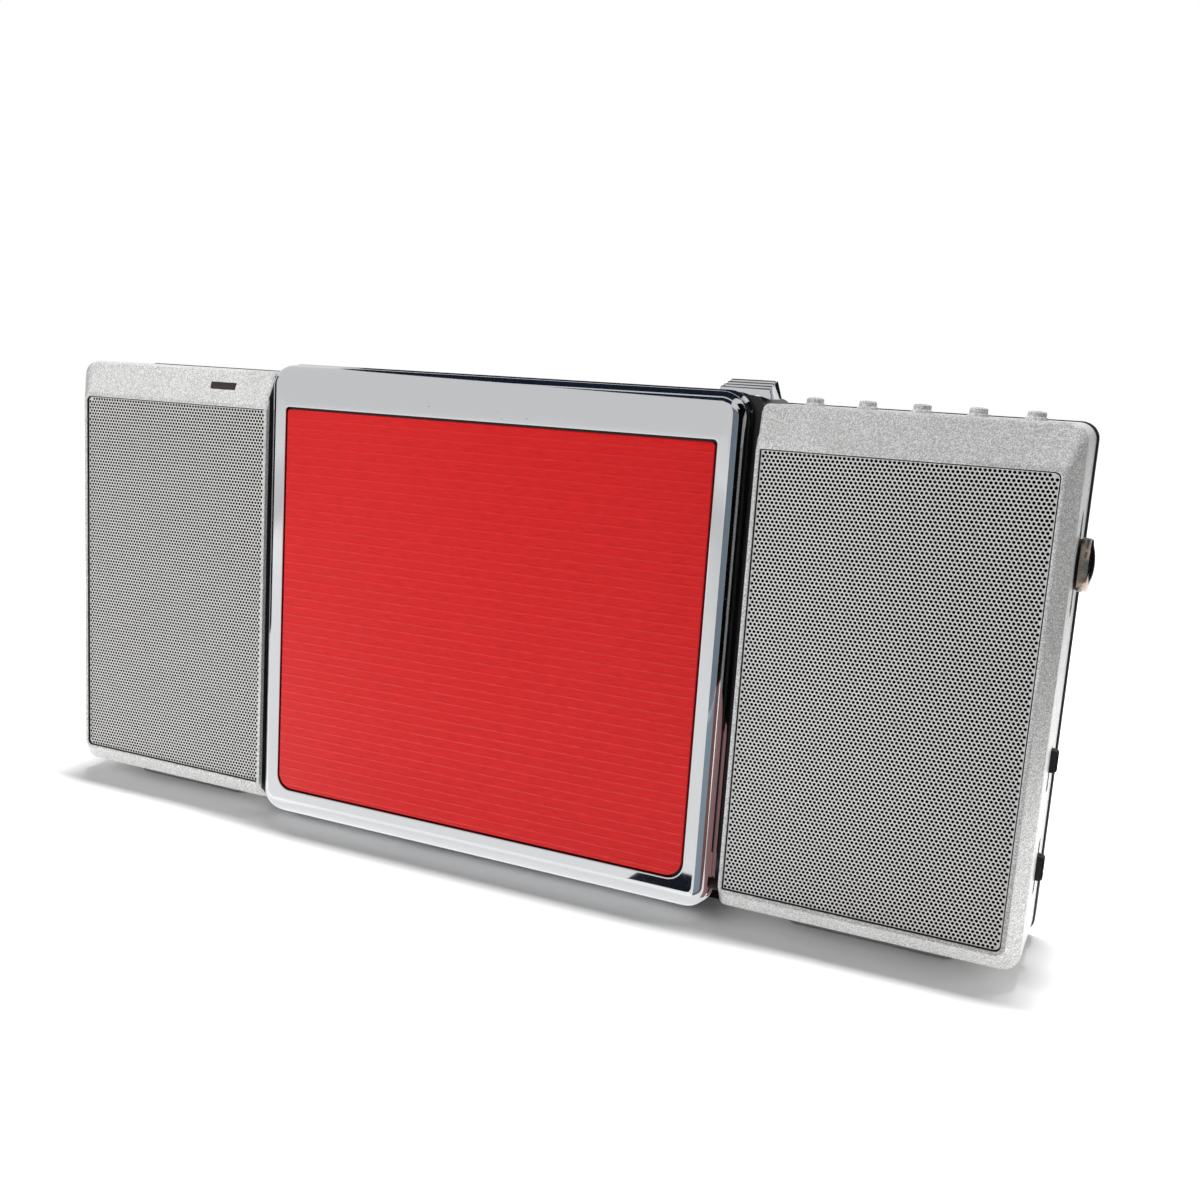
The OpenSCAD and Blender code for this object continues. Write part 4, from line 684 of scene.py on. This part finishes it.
def shuttle():
    """The shuttle: a turned metal rim on an oblong stem, and a glossy dome, a parabola, seated in it."""
    at, around, r_cap, seat, rise = (SIDE_Y, SHUTTLE_Z), 56, 3.1, 85.18, 0.52
    rim = turned([(3.2, 83.7), (3.5, 83.74), (3.6, 83.9), (3.6, 84.8), (3.54, 84.98), (3.4, 85.14),
                  (3.25, 85.2), (3.18, 85.14), (3.16, 84.9), (2.0, 84.85)], at, "x", around)
    stem = outline(about(at, 1.3, 3.4), 1.29)
    stem = skin(stacked([(stem, 82.1), (stem, 84.25)], "x"))
    piece("shuttle_rim_turned", "shuttle", [(*skin(rim), KNOB_METAL), (*stem, BLACK_ABS)],
          ["shuttle_knob"])
    dome = [(r, seat + rise * (1 - (r / r_cap) ** 2)) for r in (r_cap, 2.9, 2.6, 2.2, 1.8, 1.3, 0.8, 0.4, 0.05)]
    cap = turned([(2.2, 84.9), (3.0, 84.9), (r_cap, 84.95), *dome], at, "x", around)
    piece("shuttle_cap_polished", "shuttle", [(*skin(cap), GLOSS_BLACK)], ["shuttle_cap"])


def slide_knob(name, body, node, z, length):
    """A slide's knob: an outline in X and Z with four rounded ribs, half sine waves, drawn across Y."""
    foot, side, top, rib, ribs, inset = 82.1, 84.05, 84.4, 0.28, 4, 0.1
    z0, z1 = z - length / 2, z + length / 2
    t = np.linspace(0, 1, 57)
    wave = np.abs(np.sin(ribs * math.pi * t)) ** 0.6
    crest = np.stack([top - rib + rib * wave, z0 + inset + t * (length - 2 * inset)], -1)
    shape = np.vstack([[[foot, z0], [side, z0]], crest, [[side, z1], [foot, z1]]])
    mid = shape.mean(0)
    ends = [(0.95, -1.3), (1.0, -1.22), (1.0, 0.62), (0.95, 0.7)]  # share of the outline, and Y
    knob = skin(stacked([(mid + (shape - mid) * by, y) for by, y in ends], "y"))
    piece(name, body, [(*knob, BLACK_ABS)], [node])


def opening_lever():
    """The lever's plated thumb piece: a profile in Y and Z that climbs in four steps with rounded edges, each a
    quarter circle, drawn along X between ends that lean inwards; past the frame its underside reaches a little
    lower. Its stem, hub and hook are below."""
    x0, x1, x_frame, y0, y1, z0, z1 = 34.0, 41.8, 39.9, -6.4, -1.2, 76.2, 78.4
    tread, rise, r, lean = 1.25, 0.4, 0.25, 0.7
    low = [[y1, z1 - 0.2], [y1, z0 + 0.2], [y0, z0]]
    tops = z1 + rise * np.arange(-3, 1)
    climb = [np.vstack([[[y0 + tread * i, tops[i - 1] if i else z0]],
                        arc((y0 + tread * i + r, tops[i] - r), r, 180, 90)]) for i in range(4)]
    shape = np.vstack([low, *climb, [[y1 - 0.25, z1], [y1 - 0.07, z1 - 0.07]]])
    mid = shape.mean(0)

    def end(x, tilt, by, drop=0.0):
        at = mid + (shape - mid) * by
        at[1:3, 1] -= drop
        return np.stack([x + tilt * (at[:, 1] - z0) / (z1 - z0), at[:, 0], at[:, 1]], -1)

    # rounded ends: how far in along X, the share of the profile, and how much lower it reaches at the right
    rounding = [(0.06, 0.93, 0.4), (0.0, 0.98, 0.5), (0.12, 1.0, 0.55)]
    thumb = [end(x0 + inwards, lean, by) for inwards, by, _ in rounding] + [end(x_frame, 0, 1.0)]
    thumb += [end(x1 - inwards, -lean, by, drop) for inwards, by, drop in rounding[::-1]]
    hub = tube(0.65, 1.35, (35.0, 38.0), LEVER_PIN)
    stem = block((35.0, 38.0), (-2.8, -0.8), (73.4, 76.6), 0.2, "z")
    arm = block((36.6, 38.0), (-7.0, -2.6), (73.2, 73.9), 0.15, "y")
    hook = block((36.6, 38.0), (-7.0, -6.3), (72.8, 73.6), 0.15, "z")
    piece("opening_lever_plated", "lever",
          [(*part, CHROME) for part in (skin(np.stack(thumb)), hub, stem, arm, hook)], ["open_lever"])


def strip():
    """The strip on top: stacked outlines with a rounded upper edge, a quarter turn."""
    box, corner, foot, top, r = (-22, 22, -4.4, 1.2), 1.0, 76.1, 76.5, 0.3
    shape = lambda by: outline(grown(box, -by), corner - by)
    levels = [(shape(0), foot), (shape(0), top)]
    levels += [(shape(r * (1 - math.cos(a))), top + r * math.sin(a)) for a in np.radians([20, 40, 60, 80, 90])]
    piece("top_strip_painted", "player", [(*skin(stacked(levels, "z")), SILVER)], ["top_strip"])


# ---- back and feet


def screw_places():
    """X and Z of the twelve case screws."""
    wing = [(x, z) for x in (44.2, 80.6) for z in (5.3, 72.2)]
    return [(s * x, z) for x, z in wing + [(39.8, 9.9), (39.8, 66.1)] for s in (1, -1)]


def back():
    """The rear cover: outlines over its rounded edge, inset and depth following a quarter turn, then its
    hollow; cut for the battery door and, twice as wide at the face, for each screw."""
    r, clear, seat, turn = 1.5, 0.3, COVER_Y + SEAM_HALF, np.radians(np.linspace(0, 90, 9))
    side = lambda by: outline(grown(COVER, -by), COVER_CORNER - by / 2)
    hollow = outline((-INSIDE[1], INSIDE[1], INSIDE[2], INSIDE[3]), INSIDE_RADII[1])
    levels = [(hollow, Y_BACK - r), (hollow, seat), (side(0.2), seat), (side(0.05), COVER_Y + 0.08),
              (side(0), COVER_Y + 0.25), (side(0), Y_BACK - r - 0.05)]
    levels += [(side(r * (1 - math.cos(a))), Y_BACK - r + r * math.sin(a)) for a in turn]
    levels.append((side(r + 0.05), Y_BACK))
    door = outline(grown(DOOR, clear), 0.4, 3)
    cuts = [skin(stacked([(door, 6.0), (door, 13.0)], "y"))]
    cuts += [skin(turned(SCREW_HOLE, at, "y", 24)) for at in screw_places()]
    piece("rear_cover_textured", "player", [(*skin(stacked(levels, "y")), BLACK_ABS)],
          ["rear_cover"], cuts)


def battery_door():
    """The battery door: a plate with rounded edges and grooves, and a round hinge with a stub at each end."""
    x0, x1, z0, z1 = DOOR
    r, r_stub, long, pitch, wide = 0.8, 0.5, 0.7, 1.6, 0.8
    plate = block((x0 + r, x1), (10.5, 12.0), (z0, z1), 0.35, "y", 0.2)
    stub = [(r_stub, -long), (r_stub, -0.02), (0.7, 0.0), (r, 0.1)]  # radius, and way into the door's end
    profile = [(at, z0 + past) for at, past in stub] + [(at, z1 - past) for at, past in stub[::-1]]
    knuckle = turned(profile, (x0 + r, 11.2), "z", 24)
    cuts = [block((x - wide, x), (11.7, 13.0), (35.75, 41.75), 0.3, "y", 0.05)
            for x in x1 - 1.0 - pitch * np.arange(5)]
    piece("battery_door_textured", "battery_cover", [(*plate, BLACK_ABS)], [], cuts)
    piece("battery_door_knuckle", "battery_cover", [(*skin(knuckle), BLACK_ABS)],
          ["battery_door"])


def screws():
    """Pan-head screws with a cross recess: a polar grid whose depth is the dome of the head, a parabola, and
    deeper where the point lies near either of two crossing lines."""
    n, rings, r_head, r_shank = 40, 14, 1.6, 0.8
    sunk, dome, recess, half, soft, reach, end = 0.05, 0.18, 0.45, 0.24, 0.08, 0.95, 0.15
    angle = np.linspace(0, 2 * math.pi, n, endpoint=False)
    radius = np.linspace(1.55, 0.03, rings)[:, None]
    a, b = radius * np.cos(angle), radius * np.sin(angle)
    cross = np.clip((half - np.minimum(np.abs(a), np.abs(b))) / soft, 0, 1)
    cross *= np.clip((reach - radius) / end, 0, 1)
    depth = sunk + dome * (radius / r_head) ** 2 + recess * cross
    foot = np.stack([r_head * np.cos(angle), r_head * np.sin(angle)], -1)
    parts = []
    for x, z in screw_places():
        head = np.stack([x + a, Y_BACK - depth, z + b], -1)
        rim = stacked([(foot + [x, z], 11.22), (foot + [x, z], 11.7)], "y")
        parts.append((*skin(np.concatenate([rim, head])), ZINC))
        parts.append((*skin(turned([(r_shank, 4.0), (r_shank, 11.25)], (x, z), "y", 16)), ZINC))
    piece("case_screws_cross_head", "player", parts, ["case_screws"], sharp=50)


def feet():
    """Three rubber strips: stacked outlines with rounded lower edges, a quarter turn."""
    parts, r, corner, top, turn = [], 0.35, 1.5, 1.9, np.radians([0, 25, 50, 70, 90])
    for x, length in FEET:
        shape = lambda by: outline(grown((x - length / 2, x + length / 2, -4.0, 6.0), -by), corner - by)
        levels = [(shape(r * (1 - math.sin(t))), r * (1 - math.cos(t))) for t in turn]
        parts.append((*skin(stacked(levels + [(shape(0), top)], "z")), FOOT_RUBBER))
    piece("rubber_feet_moulded", "player", parts, ["rubber_feet"])


lid()
lid_panel()
wings()
grilles()
buttons()
shuttle()
slide_knob("hold_knob_ribbed", "hold_switch", "hold_switch_knob", 30.025, 3.05)
slide_knob("tone_knob_ribbed", "tone_switch", "tone_switch_knob", TONE_Z, 3.4)
opening_lever()
strip()
back()
battery_door()
screws()
feet()

# ---- finishes of the CAD nodes that stay

KEPT = {
    FRAME_ABS: ["player_frame"],
    STEEL: ["disc_holder", "drive_chassis", "battery_contacts", "turntable"],
    ROD: ["lever_pin", "lead_screw", "guide_rods"],
    DARK_PIN: ["hinge_pins"],
    ZINC: ["left_speaker_magnet", "right_speaker_magnet", "spindle_motor", "sled_motor", "drive_screws"],
    COATED_STEEL: ["left_speaker_basket", "right_speaker_basket"],
    PAPER: ["left_speaker_cone", "right_speaker_cone"],
    GREY_ABS: ["lid_catch", "battery_tray", "optical_pickup"],
    BLACK_ABS: ["headphone_jack", "power_jack"],
    BOARD: ["control_board", "side_board", "jack_board", "lamp_board", "main_board"],
    EPOXY: ["tact_switches", "side_switches", "board_chips"],
    RUBBER: ["drive_dampers"],
    CELL: ["battery"],
    LAMP_BODY: ["charge_lamp"],
    LAMP_WINDOW: ["lamp_window"],
    LENS_GLASS: ["pickup_lens"],
}
for mat, names in KEPT.items():
    for name in names:
        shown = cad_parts[name]
        if not shown.material_slots:
            shown.data.materials.append(mat)
        for place in shown.material_slots:
            place.material = mat

# ---- studio


def card(name, mat, corners):
    """A flat card of the studio, from its four corners in mm."""
    mesh = bpy.data.meshes.new(name)
    mesh.from_pydata((np.array(corners, float) * MM).tolist(), [], [(0, 1, 2, 3)])
    mesh.materials.append(mat)
    made = placed(name, mesh)
    return made


def paper(name, code):
    """Uncoated card or background paper: quite matt."""
    mat, tree, place = begin(name)
    shader = add(tree, "BsdfPrincipled", {"Base Color": code, "Roughness": 0.95, "Specular IOR Level": 0.1})
    add(tree, "OutputMaterial", {"Surface": shader})
    return mat, tree, place, shader


def floor_paper():
    """White background paper: to the camera it keeps the player's soft shadow and goes to white further off; to
    mirrors it shows white close to the player and towards its far edge."""
    mat, tree, place, shader = paper("white_background_paper", "#F2F2F2")
    path = add(tree, "LightPath")
    far = add(tree, "VectorMath", {0: place}, operation="LENGTH").outputs["Value"]
    long = add(tree, "Mapping", {"Vector": place, "Scale": (1.1, 1, 1)})
    away = add(tree, "VectorMath", {0: long}, operation="LENGTH").outputs["Value"]
    fill = add(tree, "MapRange", {"Value": away, "From Min": 0.087, "From Max": 0.108, "To Max": 0.9},
               interpolation_type="SMOOTHSTEP")
    even = add(tree, "MapRange", {"Value": far, "From Min": 0.3, "From Max": 1.2, "To Max": 0.9})
    y = add(tree, "SeparateXYZ", {0: place}).outputs["Y"]
    near = add(tree, "MapRange", {"Value": y, "From Min": -0.05, "From Max": -0.025, "To Max": 0.1})
    close = add(tree, "MapRange", {"Value": y, "From Min": -0.02, "From Max": -0.016, "To Max": 0.85})
    under = add(tree, "Math", {0: near, 1: close})
    under = add(tree, "Math", {0: under, 1: even})
    mirror = add(tree, "Math", {0: under, 1: path.outputs["Is Glossy Ray"]}, operation="MULTIPLY")
    seen = add(tree, "Math", {0: path.outputs["Is Camera Ray"], 1: path.outputs["Is Transmission Ray"]},
               operation="MAXIMUM")
    glow = add(tree, "Math", {0: seen, 1: fill, 2: mirror}, operation="MULTIPLY_ADD")
    tree.links.new(glow.outputs[0], shader.inputs["Emission Strength"])
    shader.inputs["Emission Color"].default_value = (1, 1, 1, 1)
    return mat


FLOOR = 4000
card("floor", floor_paper(), [(-FLOOR, -FLOOR, 0), (FLOOR, -FLOOR, 0), (FLOOR, FLOOR, 0), (-FLOOR, FLOOR, 0)])

# Cards seen only in reflections: they give the plated edges their dark, blue and brown bands
CARDS = {
    "card_blue": ("#93A3AE", [(52, -129, 1), (159, -97, 1), (159, -97, 120), (52, -129, 120)]),
    "card_blue_low": ("#8998A3", [(38.5, -15, 0.5), (52, -127, 0.5), (159, -96, 0.5), (43.5, -14, 0.5)]),
    "card_dark_low": ("#161A22", [(25, -19, 0.6), (36, -19, 0.6), (35, -28, 0.6), (25, -28, 0.6)]),
    "card_black": ("#050505", [(159, -96, 1), (190, -40, 1), (190, -40, 160), (159, -96, 160)]),
    "card_right": ("#050505", [(190, -40, 1), (190, 420, 1), (190, 420, 260), (190, -40, 260)]),
    "card_brown": ("#7A5650", [(43.5, -14, 0.4), (159, -96, 0.4), (230, -30, 0.4), (62, -12.3, 0.4)]),
    "card_left": ("#10131C", [(-190, -75, 1), (-190, 10, 1), (-190, 10, 120), (-190, -75, 120)]),
    "card_above_front": ("#1C2434", [(-60, -370, 300), (120, -370, 300), (120, -115, 300), (-110, -115, 300)]),
    "card_above_back": ("#1C2434", [(-120, -65, 300), (120, -65, 300), (120, 500, 300), (-420, 500, 300)]),
    "card_in_gap": ("#A07C7D", [(40.6, -10.9, 1.5), (40.6, -6, 1.5), (40.6, -6, 24), (40.6, -10.9, 36)]),
}
for name, (code, corners) in CARDS.items():
    mat, _, _, shader = paper(name + "_board", code)
    if name == "card_in_gap":  # no light reaches it between lid and wing, so it glows
        shader.inputs["Emission Color"].default_value = colour(code)
        shader.inputs["Emission Strength"].default_value = 0.8
    shown = card(name, mat, corners)
    shown.visible_camera = shown.visible_diffuse = shown.visible_shadow = shown.visible_transmission = False


def lamp(name, at, aim, size, power):
    """A soft box, its width and height in mm, at a place and turned to a point."""
    data = bpy.data.lights.new(name, "AREA")
    data.shape, data.size, data.size_y, data.energy = "RECTANGLE", size[0] * MM, size[1] * MM, power
    back = np.array(at, float) - aim
    back /= np.linalg.norm(back)
    side = np.cross((0, 0, 1), back)
    side /= np.linalg.norm(side)
    made = placed(name, data, (side, np.cross(back, side), back), at)
    made.visible_glossy = False  # the plated edges mirror the cards and the paper only


lamp("strip_box_above", (0, 42, 900), (0, 0, 0), (300, 40), 8.3)
lamp("soft_box_front_left", (-330, -260, 220), (0, 0, 40), (300, 300), 0.6)
lamp("soft_box_right", (650, 60, 420), (60, 0, 40), (350, 350), 1.2)

world = bpy.data.worlds.new("studio")
scene.world = world
world.use_nodes = True
tree = world.node_tree
tree.nodes.clear()
path = add(tree, "LightPath")
seen = add(tree, "Math", {0: path.outputs["Is Camera Ray"], 1: path.outputs["Is Glossy Ray"]},
           operation="MAXIMUM")
seen = add(tree, "Math", {0: seen, 1: path.outputs["Is Transmission Ray"]}, operation="MAXIMUM")
# plain white to the camera and to mirrors, and a fifth of it as light on the player
level = add(tree, "Math", {0: seen, 1: 0.8, 2: 0.2}, operation="MULTIPLY_ADD")
sky = add(tree, "Background", {"Color": (1, 1, 1, 1), "Strength": level})
add(tree, "OutputWorld", {"Surface": sky})
